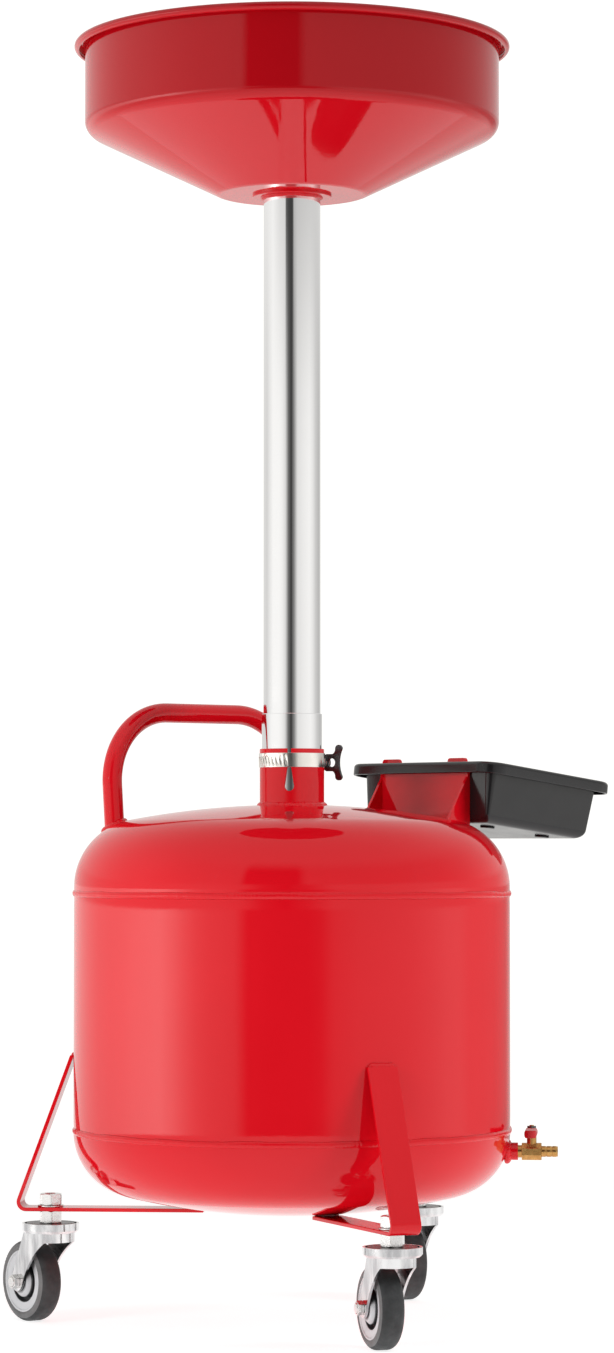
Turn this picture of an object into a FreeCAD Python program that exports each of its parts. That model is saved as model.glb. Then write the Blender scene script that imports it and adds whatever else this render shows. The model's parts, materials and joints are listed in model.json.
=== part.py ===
"""Upright oil drain: a funnel bowl on a telescoping chrome mast over a welded tank on three casters.

Millimetres, +Z up. The pieces are modelled with the tank's axis on X = Y = 0 and the floor at Z = 0,
then all are shifted together so that the origin lies under the middle of the whole object's box.
Azimuths are in degrees from +X, towards +Y. The drain valve points along +X.
"""

import FreeCAD, Part
import math
import os
from FreeCAD import Vector

# Tank: a rolled shell between two pressed heads
TANK_R = 175.0
TANK_WALL = 1.6
SEAM_BOTTOM = 157.0
SEAM_TOP = 346.0
UPPER_HEAD = (5.0, 55.0, 66.3)     # flange, knuckle radius, rise of the crown over the knuckle's centre
LOWER_HEAD = (1.0, 51.5, 66.0)
SEAM_BEAD_WIDTH = 6.0
SEAM_BEAD_HEIGHT = 1.5
WELD_R = 2.6

# Neck collar, slit at the front so that the hose clamp can squeeze it on the mast
COLLAR_R = 26.0
COLLAR_BOTTOM = 396.0
COLLAR_TOP = 462.0
SLIT_WIDTH = 3.3
SLIT_HOLE_R = 4.0
SLIT_HOLE_Z = 432.0
SLIT_AZIMUTH = -90.0

# Mast: the outer tube slides in the collar, the inner tube in the outer one
RUN = 0.05                         # radial clearance of a running fit
OUTER_TUBE_R = 24.3
OUTER_TUBE_BOTTOM = 115.0
OUTER_TUBE_TOP = 490.3
INNER_TUBE_R = 23.0
INNER_TUBE_WALL = 1.2
INNER_TUBE_BOTTOM = 437.0
GUIDE_LENGTH = 12.0                # nylon bush below the end of the inner tube
GUIDE_SPIGOT = 12.0
GUIDE_WALL = 1.3

# Bowl
BOWL_BOTTOM = 910.0
BOWL_SHEET = 1.2
BOWL_FLAT_R = 60.0
BOWL_WALL_R = 167.5
BOWL_KNEE_Z = 962.0
BOWL_KNEE_R = 11.0
BOWL_HEEL_R = 10.0
CURL_R = 2.6                       # to the middle of the sheet
CURL_FLAT = 3.4                    # the roll is flattened on top by this much
CURL_Z = 1029.5
CURL_END = -100.0                  # degrees, where the rolled edge stops
BOWL_RING_R = 32.0
BOWL_RING_THICK = 2.0
STRAINER_R = 50.0
STRAINER_THICK = 1.0
STRAINER_HOLE_R = 2.2
STRAINER_PITCH = 8.0

# Hose clamp with a wing key
BAND_BOTTOM = 447.0
BAND_TOP = 458.5
BAND_THICK = 0.7
BAND_SLOTS = (176.0, 264.0, 8.0)   # first and last azimuth of the slots, and their step
SLOT_HALF = 2.9
SLOT_LEAN = 20.0
CLAMP_AZIMUTH = 60.0
SCREW_Z = 451.3
SCREW_OUT = 31.5                   # from the mast's axis to the screw's
SCREW_R = 4.2
SCREW_HALF = 8.0
HOUSING_R = 5.7
HOUSING_HALF = 7.0
KEY_SHANK_R = 2.8
KEY_START = 9.0                    # this and the next four lie along the screw, from the housing's middle
KEY_SHANK_END = 13.5
KEY_HOLE_OUT = 17.6
KEY_WAIST_OUT = 18.5
KEY_TIP = 27.5
KEY_DISH = 2.7                     # depth of the hollow in the outer edge
KEY_WAIST = 7.0
KEY_ROOT = 5.0                      # the half width at its start, so that the key clears the band as it turns
KEY_SHOULDER = 12.5
KEY_LOBE_R = 3.2
KEY_HALF = 14.4
KEY_THICK = 2.4
KEY_HOLE_R = 3.5

# Pulling handle
HANDLE_AZIMUTH = 135.0
HANDLE_FEET = 145.0
HANDLE_SPREAD = 42.0               # degrees to each side
HANDLE_TOP = 493.0
HANDLE_TUBE_R = 8.0
HANDLE_TUBE_WALL = 1.5
HANDLE_BEND_R = 66.0
HANDLE_LEAN = 5.0

# Tray bracket and tray
TRAY_AZIMUTH = 45.0
BRACKET_IN = 142.0
BRACKET_THICK = 2.5
BRACKET_HALF = 54.0
GUSSET_BASE = 23.0
GUSSET_TOP_GAP = 5.0
TAB_WIDTH = 22.0
TAB_INSET = 2.5
TAB_CORNER = 3.0
TAB_TOP = 456.0
TRAY_LIP_Z = 452.0
TRAY_TILT = 7.0                    # also the draft of its walls
TRAY_LONG = 160.0                  # body at the lip, without the overhang
TRAY_DEEP_OUT = 124.0
TRAY_DEPTH = 48.8
TRAY_CORNER = 8.0
TRAY_WALL = 2.4
LIP_OVERHANG = 10.0
LIP_HEIGHT = 9.5
LIP_THICK = 2.2
TAB_CLEARANCE = 0.4
TRAY_PAD_R = 6.0
TRAY_PAD_HEIGHT = 1.6

# Legs
LEG_AZIMUTHS = {"left": 180.0, "front": 298.0, "rear": 62.5}
LEG_WIDTH = 25.0
LEG_THICK = 3.0
FOOT_Z = 91.0
FOOT_IN = 70.0
LEG_KNEE = 222.0                   # where the foot's and the strut's middle lines would meet
LEG_KNEE_R = 6.0
LEG_TOP_Z = 218.0

# Casters
CASTER_OUT = 195.0
CASTER_TRAIL_AZIMUTHS = {"left": 131.0, "front": 113.0, "rear": 115.0}
WHEEL_R = 32.5
TYRE_HALF = 10.0
TYRE_SHOULDER = 4.0
RIM_R = 25.0
RIM_IN = 22.0
RIM_HALF = 9.5
WEB_HALF = 3.0
HUB_R = 10.0
HUB_HALF = 11.5
CASTER_TRAIL = 28.0
STEM_R = 5.0
STEM_TOP = 103.5
STEM_HOLE_R = 5.3
NUT_FLATS = 17.0
NUT_HIGH = 9.0
WASHER_R = 10.5
WASHER_THICK = 1.5
CUP_R = 23.0
CUP_TOP = 81.0
CUP_FLOOR = 73.5
FORK_SHEET = 2.0
FORK_IN = 12.5
FORK_BACK = 17.0
FORK_FRONT = 13.0
SKIRT_R = 18.0                     # the crown's wall between the cheeks, on the leading side
SKIRT_DROP = 7.5
FORK_EYE_R = 8.0
RACE_BALL_R = 1.75
RACE_R = 12.0
RACE_BALLS = 10
PLATE_R = 19.5
RIVET_R = 9.0
RIVET_HIGH = 3.0
AXLE_R = 4.0
AXLE_FLATS = 10.0
AXLE_HEAD = 3.0
AXLE_NUT = 5.0
AXLE_PROUD = 1.0
BUSH_R = 6.0

# Drain valve, on the lower head, along +X
VALVE_Z = 140.6
BOSS_R = 7.0
BOSS_IN = 166.0
BOSS_OUT = 181.2
VALVE_SHANK_R = 5.0
VALVE_SHANK_LONG = 9.0
VALVE_LONG = 18.7
VALVE_NECK = 3.0
VALVE_FLATS = 13.4
VALVE_BORE_R = 2.6
VALVE_CHAMBER_R = 4.7
VALVE_BALL_R = 4.2
SEAT_LONG = 3.0
BONNET_R = 3.85
BONNET_TOP = 12.5                  # this and the next heights are above the valve's axis
PACKING_FLATS = 7.0
PACKING_TOP = 14.9
STEM_SHAFT_R = 1.8
LEVER_BOTTOM = 15.0
LEVER_THICK = 2.0
LEVER_WIDTH = 8.0
LEVER_LONG = 36.0
GRIP_LONG = 25.0
GRIP_HIGH = 6.0
GRIP_WALL = 1.0
LEVER_NUT_FLATS = 7.0
LEVER_NUT_HIGH = 3.2
BARB_R = 4.4
BARB_ROOT_R = 3.6
BARB_RIDGES = 3
BARB_CONE = 2.3
BARB_LAND = 2.0

UP = Vector(0, 0, 1)
ORIGIN = Vector(0, 0, 0)
INNER_TUBE_BORE = INNER_TUBE_R - INNER_TUBE_WALL


# Helpers

def point(r, azimuth, z):
    a = math.radians(azimuth)
    return Vector(r * math.cos(a), r * math.sin(a), z)


def turned(shape, azimuth, about=ORIGIN, axis=UP):
    copy = shape.copy()
    copy.rotate(about, axis, azimuth)
    return copy


def moved(shape, x=0.0, y=0.0, z=0.0):
    copy = shape.copy()
    copy.translate(Vector(x, y, z))
    return copy


def section(start, *steps):
    """A face in the XZ plane. A step is the next point, or (middle, end) for an arc."""
    def place(p):
        return Vector(p[0], 0, p[1])
    edges = []
    here = start
    for step in steps + (start,):
        is_arc = isinstance(step[0], tuple)
        end = step[1] if is_arc else step
        if is_arc:
            edges.append(Part.Arc(place(here), place(step[0]), place(end)).toShape())
        elif math.dist(here, end) > 1e-6:
            edges.append(Part.makeLine(place(here), place(end)))
        here = end
    return Part.Face(Part.Wire(edges))


def lathe(start, *steps):
    return section(start, *steps).revolve(ORIGIN, UP, 360)


def ring(outer, inner, bottom, top):
    return lathe((inner, bottom), (outer, bottom), (outer, top), (inner, top))


def rod(r, start, end):
    return Part.makeCylinder(r, (end - start).Length, start, end - start)


def block(x0, x1, y0, y1, z0, z1):
    return Part.makeBox(x1 - x0, y1 - y0, z1 - z0, Vector(x0, y0, z0))


def on_circle(cx, cz, r, degrees):
    a = math.radians(degrees)
    return (cx + r * math.cos(a), cz + r * math.sin(a))


def hexagon(flats, bottom, top, bore):
    corner = flats / math.sqrt(3)
    points = [point(corner, 60 * i + 30, bottom) for i in range(7)]
    prism = Part.Face(Part.makePolygon(points)).extrude(UP * (top - bottom))
    rounding = Part.makeCone(corner + (top - bottom), corner * 0.93, top - bottom + corner * 0.07,
                             Vector(0, 0, bottom - corner * 0.07))
    prism = prism.common(rounding)
    return prism.cut(rod(bore, Vector(0, 0, bottom - 1), Vector(0, 0, top + 1))) if bore else prism


def rounded_sheet(half_x, half_y, corner, z):
    """A rounded rectangle as a wire, for lofts."""
    arcs = []
    for i in range(4):
        sx = (1, -1, -1, 1)[i]
        sy = (1, 1, -1, -1)[i]
        centre = Vector(sx * (half_x - corner), sy * (half_y - corner), z)
        ends = [centre + point(corner, 90 * i + step, 0) for step in (0, 45, 90)]
        arcs.append(ends)
    edges = []
    for i in range(4):
        edges.append(Part.Arc(*arcs[i]).toShape())
        edges.append(Part.makeLine(arcs[i][2], arcs[(i + 1) % 4][0]))
    return Part.Wire(edges)


# Tank

def upside_down(shape, level):
    return moved(turned(shape, 180, axis=Vector(1, 0, 0)), z=level)


class Head:
    """A dished head above the knuckle's centre at Z = 0, with its flange below."""

    def __init__(self, flange, knuckle, rise):
        self.flange = flange
        self.knuckle = knuckle
        self.rise = rise
        self.out = TANK_R - knuckle
        self.drop = (self.out ** 2 - (rise - knuckle) ** 2) / (2 * (rise - knuckle))

    def tangent(self, inset=0.0):
        """Where the knuckle meets the crown."""
        reach = (self.knuckle - inset) / math.hypot(self.out, self.drop)
        return (self.out * (1 + reach), self.drop * reach)

    def crown(self, r, inset=0.0):
        return math.sqrt((self.rise + self.drop - inset) ** 2 - r ** 2) - self.drop

    def height(self, r):
        """Height of the outer face at a distance from the axis."""
        if r < self.tangent()[0]:
            return self.crown(r)
        return math.sqrt(self.knuckle ** 2 - (r - self.out) ** 2)

    def knee(self, inset=0.0):
        return on_circle(self.out, 0, self.knuckle - inset, 45)

    def sheet(self, hole_r):
        t = TANK_WALL
        middle = (self.tangent()[0] + hole_r) / 2
        inner_middle = (self.tangent(t)[0] + hole_r) / 2
        return lathe((TANK_R, -self.flange), (TANK_R, 0), (self.knee(), self.tangent()),
                     ((middle, self.crown(middle)), (hole_r, self.crown(hole_r))),
                     (hole_r, self.crown(hole_r, t)),
                     ((inner_middle, self.crown(inner_middle, t)), self.tangent(t)),
                     (self.knee(t), (TANK_R - t, 0)), (TANK_R - t, -self.flange))

    def full(self):
        middle = self.tangent()[0] / 2
        return lathe((0, -self.flange), (TANK_R, -self.flange), (TANK_R, 0), (self.knee(), self.tangent()),
                     ((middle, self.crown(middle)), (0, self.rise)))


UPPER = Head(*UPPER_HEAD)
LOWER = Head(*LOWER_HEAD)
KNUCKLE_TOP = SEAM_TOP + UPPER.flange
KNUCKLE_BOTTOM = SEAM_BOTTOM - LOWER.flange


def dome_top(r):
    return KNUCKLE_TOP + UPPER.height(r)


def lower_head_radius(z):
    """Outer radius of the lower head's knuckle at a height."""
    return LOWER.out + math.sqrt(LOWER.knuckle ** 2 - (KNUCKLE_BOTTOM - z) ** 2)


def tank_space():
    """The tank's outer form as a full solid, to trim what is welded on it."""
    core = rod(TANK_R, Vector(0, 0, SEAM_BOTTOM), Vector(0, 0, SEAM_TOP))
    return core.fuse([moved(UPPER.full(), z=KNUCKLE_TOP), upside_down(LOWER.full(), KNUCKLE_BOTTOM)])


def seam_bead(z):
    half = SEAM_BEAD_WIDTH / 2
    return lathe((TANK_R, z - half), ((TANK_R + SEAM_BEAD_HEIGHT, z), (TANK_R, z + half)))


def neck_collar():
    collar = ring(COLLAR_R, OUTER_TUBE_R + RUN, COLLAR_BOTTOM, COLLAR_TOP)
    slit = block(0, COLLAR_R + 1, -SLIT_WIDTH / 2, SLIT_WIDTH / 2, SLIT_HOLE_Z, COLLAR_TOP + 1)
    relief = rod(SLIT_HOLE_R, Vector(0, 0, SLIT_HOLE_Z), Vector(COLLAR_R + 1, 0, SLIT_HOLE_Z))
    return collar.cut(turned(slit.fuse(relief), SLIT_AZIMUTH))


# Handle

def handle_frame():
    """Feet half-distance, outward place of the feet, and the leaned height of the top bar."""
    spread = math.radians(HANDLE_SPREAD)
    foot_z = dome_top(HANDLE_FEET)
    rise = (HANDLE_TOP - foot_z) / math.cos(math.radians(HANDLE_LEAN))
    return HANDLE_FEET * math.sin(spread), HANDLE_FEET * math.cos(spread), foot_z, rise


def handle_rod(r):
    """A solid rod along the handle's line, its feet sunk in the tank."""
    half, out, foot_z, rise = handle_frame()
    sink = 3 * HANDLE_TUBE_R
    bend = HANDLE_BEND_R
    middle = bend * (1 - math.sqrt(0.5))
    line = [Vector(0, -half, -sink), Vector(0, -half, rise - bend),
            Vector(0, -half + middle, rise - middle),
            Vector(0, -half + bend, rise), Vector(0, half - bend, rise),
            Vector(0, half - middle, rise - middle),
            Vector(0, half, rise - bend), Vector(0, half, -sink)]
    path = Part.Wire([Part.makeLine(line[0], line[1]), Part.Arc(line[1], line[2], line[3]).toShape(),
                      Part.makeLine(line[3], line[4]), Part.Arc(line[4], line[5], line[6]).toShape(),
                      Part.makeLine(line[6], line[7])])
    disc = Part.Face(Part.Wire(Part.makeCircle(r, line[0], UP)))
    bar = path.makePipe(disc)
    bar.rotate(ORIGIN, Vector(0, 1, 0), HANDLE_LEAN)
    bar.translate(Vector(out, 0, foot_z))
    return turned(bar, HANDLE_AZIMUTH)


def handle_welds(tank, handle):
    """A bead round each foot, lying in the plane of the dome there."""
    beads = []
    for side in (-1, 1):
        azimuth = HANDLE_AZIMUTH + side * HANDLE_SPREAD
        foot = point(HANDLE_FEET, azimuth, dome_top(HANDLE_FEET))
        normal = foot - point(UPPER.out, azimuth, KNUCKLE_TOP)
        bead = Part.makeTorus(HANDLE_TUBE_R + 1, WELD_R, foot, normal)
        beads.append(bead.cut([tank, handle]))
    return beads


# Tray bracket and tray, made facing +X and then turned

def lip_under(s):
    """Height of the underside of the tray's lip at a distance from the axis."""
    tilt = math.radians(TRAY_TILT)
    face = BRACKET_IN + BRACKET_THICK
    return TRAY_LIP_Z - LIP_THICK / math.cos(tilt) - (s - face) * math.tan(tilt)


def bracket_height():
    return lip_under(BRACKET_IN + BRACKET_THICK) - RUN


def tab_edges(side, room):
    """Where one tab starts and ends along the bracket, with some room round it."""
    outer = side * (BRACKET_HALF - TAB_INSET + room)
    inner = side * (BRACKET_HALF - TAB_INSET - TAB_WIDTH - room)
    return sorted((outer, inner))


def tray_bracket(tank):
    top = bracket_height()
    low = KNUCKLE_TOP
    t = BRACKET_THICK
    plate = block(BRACKET_IN, BRACKET_IN + t, -BRACKET_HALF, BRACKET_HALF, low, top)
    pieces = [plate]
    for side in (-1, 1):
        near = side * BRACKET_HALF
        start, end = tab_edges(side, 0)
        pieces.append(block(BRACKET_IN, BRACKET_IN + t, start, end, low, TAB_TOP - TAB_CORNER))
        pieces.append(block(BRACKET_IN, BRACKET_IN + t, start + TAB_CORNER, end - TAB_CORNER, low, TAB_TOP))
        for y in (start + TAB_CORNER, end - TAB_CORNER):
            corner = Vector(BRACKET_IN, y, TAB_TOP - TAB_CORNER)
            pieces.append(rod(TAB_CORNER, corner, corner + Vector(t, 0, 0)))
        base = dome_top(BRACKET_IN) + 1
        gusset = section((BRACKET_IN + t, low), (BRACKET_IN + t, top - GUSSET_TOP_GAP),
                         (BRACKET_IN - GUSSET_BASE, base), (BRACKET_IN - GUSSET_BASE, low))
        gusset = gusset.extrude(Vector(0, t, 0))
        pieces.append(moved(gusset, y=near - (t if side > 0 else 0)))
    shape = turned(pieces[0].fuse(pieces[1:]), TRAY_AZIMUTH)
    return shape.cut(tank).removeSplitter()


def tray_form(inset, top, bottom):
    """The tray's tapered body in its own frame, with its rim plane at Z = 0 and its back wall at X = 0."""
    taper = math.tan(math.radians(TRAY_TILT))
    wires = []
    for z in (top, bottom):
        shrink = inset - z * taper
        half_x = TRAY_DEEP_OUT / 2 - shrink
        half_y = TRAY_LONG / 2 - shrink
        wires.append(rounded_sheet(half_x, half_y, TRAY_CORNER - inset, z))
    return moved(Part.makeLoft(wires, True, True), x=TRAY_DEEP_OUT / 2)


def slab(grow, corner, z0, z1):
    wire = rounded_sheet(TRAY_DEEP_OUT / 2 + grow, TRAY_LONG / 2 + grow, corner, z0)
    return moved(Part.Face(wire).extrude(UP * (z1 - z0)), x=TRAY_DEEP_OUT / 2)


def placed_tray(shape):
    """From the tray's own frame to its tilted place against the bracket."""
    copy = turned(shape, TRAY_TILT, axis=Vector(0, 1, 0))
    copy.translate(Vector(BRACKET_IN + BRACKET_THICK + RUN, 0, TRAY_LIP_Z))
    return copy


def tool_tray():
    tray = tray_form(0, -LIP_THICK / 2, -TRAY_DEPTH)
    lip = slab(LIP_OVERHANG, TRAY_CORNER + LIP_OVERHANG, -LIP_HEIGHT, 0)
    hollow = slab(LIP_OVERHANG - LIP_THICK, TRAY_CORNER + LIP_OVERHANG - LIP_THICK, -LIP_HEIGHT, -LIP_THICK)
    pads = []
    for sx in (0.25, 0.75):
        for sy in (-0.3, 0.3):
            centre = Vector(sx * TRAY_DEEP_OUT, sy * TRAY_LONG, -TRAY_DEPTH)
            pads.append(rod(TRAY_PAD_R, centre, centre - UP * TRAY_PAD_HEIGHT))
    tray = tray.fuse([lip.cut(hollow)] + pads)
    tray = placed_tray(tray.cut(tray_form(TRAY_WALL, 1, -TRAY_DEPTH + TRAY_WALL)))
    for side in (-1, 1):
        start, end = tab_edges(side, TAB_CLEARANCE)
        tray = tray.cut(block(BRACKET_IN - TAB_CLEARANCE, BRACKET_IN + BRACKET_THICK,
                              start, end, TAB_TOP - 2 * LIP_HEIGHT, TAB_TOP + 1))
    return turned(tray, TRAY_AZIMUTH)


def bracket_welds(tank, bracket):
    """Beads inside the channel, one beside each gusset."""
    beads = []
    face = BRACKET_IN - WELD_R / 2
    for place in (-0.7, 0.7):
        u = place * BRACKET_HALF
        ends = [Vector(face, u + step, dome_top(math.hypot(face, u + step))) for step in (-10, 10)]
        bead = turned(rod(WELD_R, ends[0], ends[1]), TRAY_AZIMUTH)
        beads.append(bead.cut([tank, bracket]))
    return beads


# Legs

def leg_angle():
    """Turn of the strut from the foot's outward direction."""
    return math.atan2(LEG_TOP_Z - FOOT_Z, TANK_R - LEG_KNEE)


def leg():
    """A bent flat bar along +X: the foot lies under the tank and the strut leans on the shell."""
    angle = leg_angle()
    half = LEG_THICK / 2
    run = Vector(math.cos(angle), 0, math.sin(angle))
    out = Vector(math.sin(angle), 0, -math.cos(angle))
    knee = Vector(LEG_KNEE, 0, FOOT_Z + half)
    tangent = LEG_KNEE_R * math.tan(angle / 2)
    bend_start = knee - Vector(tangent, 0, 0)
    bend_end = knee + run * tangent
    centre = bend_start + UP * LEG_KNEE_R
    middle_way = Vector(math.sin(angle / 2), 0, -math.cos(angle / 2))
    top = knee + run * ((TANK_R + half * out.x - LEG_KNEE) / run.x)

    def pair(p):
        return (p.x, p.z)
    face = section((FOOT_IN, FOOT_Z), (bend_start.x, FOOT_Z),
                   (pair(centre + middle_way * (LEG_KNEE_R + half)), pair(bend_end + out * half)),
                   pair(top + out * half), pair(top - out * half), pair(bend_end - out * half),
                   (pair(centre + middle_way * (LEG_KNEE_R - half)), (bend_start.x, FOOT_Z + LEG_THICK)),
                   (FOOT_IN, FOOT_Z + LEG_THICK))
    bar = moved(face.extrude(Vector(0, LEG_WIDTH, 0)), y=-LEG_WIDTH / 2)
    return bar.cut(rod(STEM_HOLE_R, Vector(CASTER_OUT, 0, FOOT_Z - 1), Vector(CASTER_OUT, 0, STEM_TOP)))


def leg_welds(tank, bar):
    """Beads along +X: one over the strut's end on the shell, one before the foot's end under the head."""
    top = bar.BoundBox.ZMax
    half = LEG_WIDTH / 2 - WELD_R
    over = rod(WELD_R, Vector(TANK_R, -half, top), Vector(TANK_R, half, top))
    under = rod(WELD_R, Vector(FOOT_IN, -half, FOOT_Z + LEG_THICK), Vector(FOOT_IN, half, FOOT_Z + LEG_THICK))
    return [bead.cut([tank, bar]) for bead in (over, under)]


# Casters: each piece is made with its stem on the Z axis and its wheel trailing along +X

def caster_stem():
    bottom = CUP_FLOOR - RUN
    return lathe((0, bottom - RIVET_HIGH), (RIVET_R - 2, bottom - RIVET_HIGH), (RIVET_R, bottom - 1),
                 (RIVET_R, bottom), (STEM_R, bottom), (STEM_R, STEM_TOP - 1), (STEM_R - 1, STEM_TOP),
                 (0, STEM_TOP))


def race_top():
    return CUP_FLOOR + FORK_SHEET + 2 * RACE_BALL_R + RUN


def caster_plate():
    bottom = race_top()
    return ring(PLATE_R, STEM_R, bottom, bottom + FORK_SHEET)


def lower_nut():
    return hexagon(NUT_FLATS, race_top() + FORK_SHEET, FOOT_Z, STEM_R)


def stem_washer():
    return ring(WASHER_R, STEM_R, FOOT_Z + LEG_THICK, FOOT_Z + LEG_THICK + WASHER_THICK)


def upper_nut():
    bottom = FOOT_Z + LEG_THICK + WASHER_THICK
    return hexagon(NUT_FLATS, bottom, bottom + NUT_HIGH, STEM_R)


def caster_fork():
    cup = lathe((STEM_R + RUN, CUP_FLOOR), (CUP_R - 2, CUP_FLOOR), (CUP_R, CUP_FLOOR + 2), (CUP_R, CUP_TOP),
                (CUP_R - FORK_SHEET, CUP_TOP), (CUP_R - FORK_SHEET, CUP_FLOOR + FORK_SHEET),
                (STEM_R + RUN, CUP_FLOOR + FORK_SHEET))
    eye = (CASTER_TRAIL, WHEEL_R)
    low = CUP_FLOOR - SKIRT_DROP
    high = CUP_FLOOR + 1
    cheek = section((-FORK_FRONT, high), (FORK_BACK, high), on_circle(*eye, FORK_EYE_R, 20),
                    (on_circle(*eye, FORK_EYE_R, -80), on_circle(*eye, FORK_EYE_R, 200)),
                    ((7, 51), (-FORK_FRONT, low)))
    outside = FORK_IN + FORK_SHEET
    skirt = ring(SKIRT_R, SKIRT_R - FORK_SHEET, low, high)
    pieces = [skirt.common(block(-CUP_R, 0, -outside, outside, low, high))]
    for y in (FORK_IN, -outside):
        pieces.append(moved(cheek.extrude(Vector(0, FORK_SHEET, 0)), y=y))
    fork = cup.fuse(pieces).removeSplitter()
    return fork.cut(axle_rod(AXLE_R, -CUP_R, CUP_R))


def race_balls():
    level = CUP_FLOOR + FORK_SHEET + RACE_BALL_R
    places = [point(RACE_R, 360.0 * i / RACE_BALLS, level) for i in range(RACE_BALLS)]
    return Part.makeCompound([Part.makeSphere(RACE_BALL_R, place) for place in places])


def axle_rod(r, start, end):
    return rod(r, Vector(CASTER_TRAIL, start, WHEEL_R), Vector(CASTER_TRAIL, end, WHEEL_R))


def on_axle(shape, y=0.0):
    """From the Z axis to the wheel's axle: +Z becomes +Y."""
    copy = turned(shape, -90, axis=Vector(1, 0, 0))
    copy.translate(Vector(CASTER_TRAIL, y, WHEEL_R))
    return copy


def axle_bolt():
    outside = FORK_IN + FORK_SHEET
    hex_head = on_axle(hexagon(AXLE_FLATS, 0, AXLE_HEAD, 0))
    hex_head = turned(hex_head, 180, about=Vector(CASTER_TRAIL, 0, WHEEL_R))
    shank = axle_rod(AXLE_R, -outside, outside + AXLE_NUT + AXLE_PROUD)
    return moved(hex_head, y=-outside).fuse(shank).removeSplitter()


def axle_nut():
    return on_axle(hexagon(AXLE_FLATS, 0, AXLE_NUT, AXLE_R), FORK_IN + FORK_SHEET)


def wheel_bush():
    return axle_rod(BUSH_R, -FORK_IN, FORK_IN).cut(axle_rod(AXLE_R, -FORK_IN, FORK_IN))


def wheel_core():
    bore = BUSH_R + RUN
    side = [(bore, HUB_HALF), (HUB_R, HUB_HALF), (HUB_R + 1, WEB_HALF),
            (RIM_IN - 1, WEB_HALF), (RIM_IN, RIM_HALF), (RIM_R, RIM_HALF)]
    other_side = [(r, -y) for r, y in side]
    return on_axle(lathe(*other_side, *reversed(side)))


def tyre():
    edge = TYRE_SHOULDER * math.sqrt(0.5)
    side = WHEEL_R - TYRE_SHOULDER
    flat = TYRE_HALF - TYRE_SHOULDER
    return on_axle(lathe((RIM_R, -RIM_HALF), (side, -TYRE_HALF),
                         ((side + edge, -flat - edge), (WHEEL_R, -flat)), (WHEEL_R, flat),
                         ((side + edge, flat + edge), (side, TYRE_HALF)), (RIM_R, RIM_HALF)))


def at_caster(shape, name):
    copy = turned(shape, CASTER_TRAIL_AZIMUTHS[name])
    copy.translate(point(CASTER_OUT, LEG_AZIMUTHS[name], 0))
    return copy


def for_each_caster(piece):
    return Part.makeCompound([at_caster(piece(), name) for name in LEG_AZIMUTHS])


# Drain valve, made along +X with its axis at Z = 0

def x_rod(r, start, end):
    return rod(r, Vector(start, 0, 0), Vector(end, 0, 0))


def valve_middle():
    return BOSS_OUT + (VALVE_NECK + VALVE_LONG) / 2


def drain_boss():
    return x_rod(BOSS_R, BOSS_IN, BOSS_OUT).cut(x_rod(VALVE_SHANK_R, BOSS_IN, BOSS_OUT))


def chamber_ends():
    half = VALVE_BALL_R * 0.6 + SEAT_LONG
    return valve_middle() - half, valve_middle() + half


def valve_body():
    start = BOSS_OUT + VALVE_NECK
    end = BOSS_OUT + VALVE_LONG
    corner = VALVE_FLATS / (2 * math.cos(math.pi / 8))
    points = [Vector(start, corner * math.cos(a), corner * math.sin(a))
              for a in [math.pi / 8 + i * math.pi / 4 for i in range(9)]]
    body = Part.Face(Part.makePolygon(points)).extrude(Vector(end - start, 0, 0))
    body = body.fuse([x_rod(VALVE_SHANK_R, BOSS_OUT - VALVE_SHANK_LONG, start),
                      rod(BONNET_R, Vector(valve_middle(), 0, 0), Vector(valve_middle(), 0, BONNET_TOP))])
    inner, outer = chamber_ends()
    stem = rod(STEM_SHAFT_R + RUN, Vector(valve_middle(), 0, 0), Vector(valve_middle(), 0, BONNET_TOP + 1))
    return body.cut([x_rod(VALVE_BORE_R, BOSS_IN, end), x_rod(VALVE_CHAMBER_R, inner, end), stem])


def valve_ball():
    x = valve_middle()
    ball = Part.makeSphere(VALVE_BALL_R, Vector(x, 0, 0))
    port = rod(VALVE_BORE_R, Vector(x, -VALVE_BALL_R, 0), Vector(x, VALVE_BALL_R, 0))
    slot = block(x - STEM_SHAFT_R, x + STEM_SHAFT_R, -STEM_SHAFT_R / 2, STEM_SHAFT_R / 2,
                 VALVE_BORE_R + 0.5, VALVE_BALL_R)
    return ball.cut([port, slot])


def valve_seats():
    inner, outer = chamber_ends()
    hollow = Part.makeSphere(VALVE_BALL_R + RUN, Vector(valve_middle(), 0, 0))
    seats = []
    for start, end in ((inner, inner + SEAT_LONG), (outer - SEAT_LONG, outer)):
        seats.append(x_rod(VALVE_CHAMBER_R, start, end).cut([x_rod(VALVE_BORE_R, start, end), hollow]))
    return Part.makeCompound(seats)


def valve_stem():
    x = valve_middle()
    top = LEVER_BOTTOM + LEVER_THICK + LEVER_NUT_HIGH + 0.8
    shaft = rod(STEM_SHAFT_R, Vector(x, 0, VALVE_BALL_R), Vector(x, 0, top))
    tongue = block(x - STEM_SHAFT_R, x + STEM_SHAFT_R, -STEM_SHAFT_R / 2, STEM_SHAFT_R / 2,
                   VALVE_BORE_R + 0.5, VALVE_BALL_R)
    tongue = tongue.common(rod(STEM_SHAFT_R, Vector(x, 0, 0), Vector(x, 0, top)))
    return shaft.fuse(tongue)


def packing_nut():
    return moved(hexagon(PACKING_FLATS, BONNET_TOP, PACKING_TOP, STEM_SHAFT_R + RUN), x=valve_middle())


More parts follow.
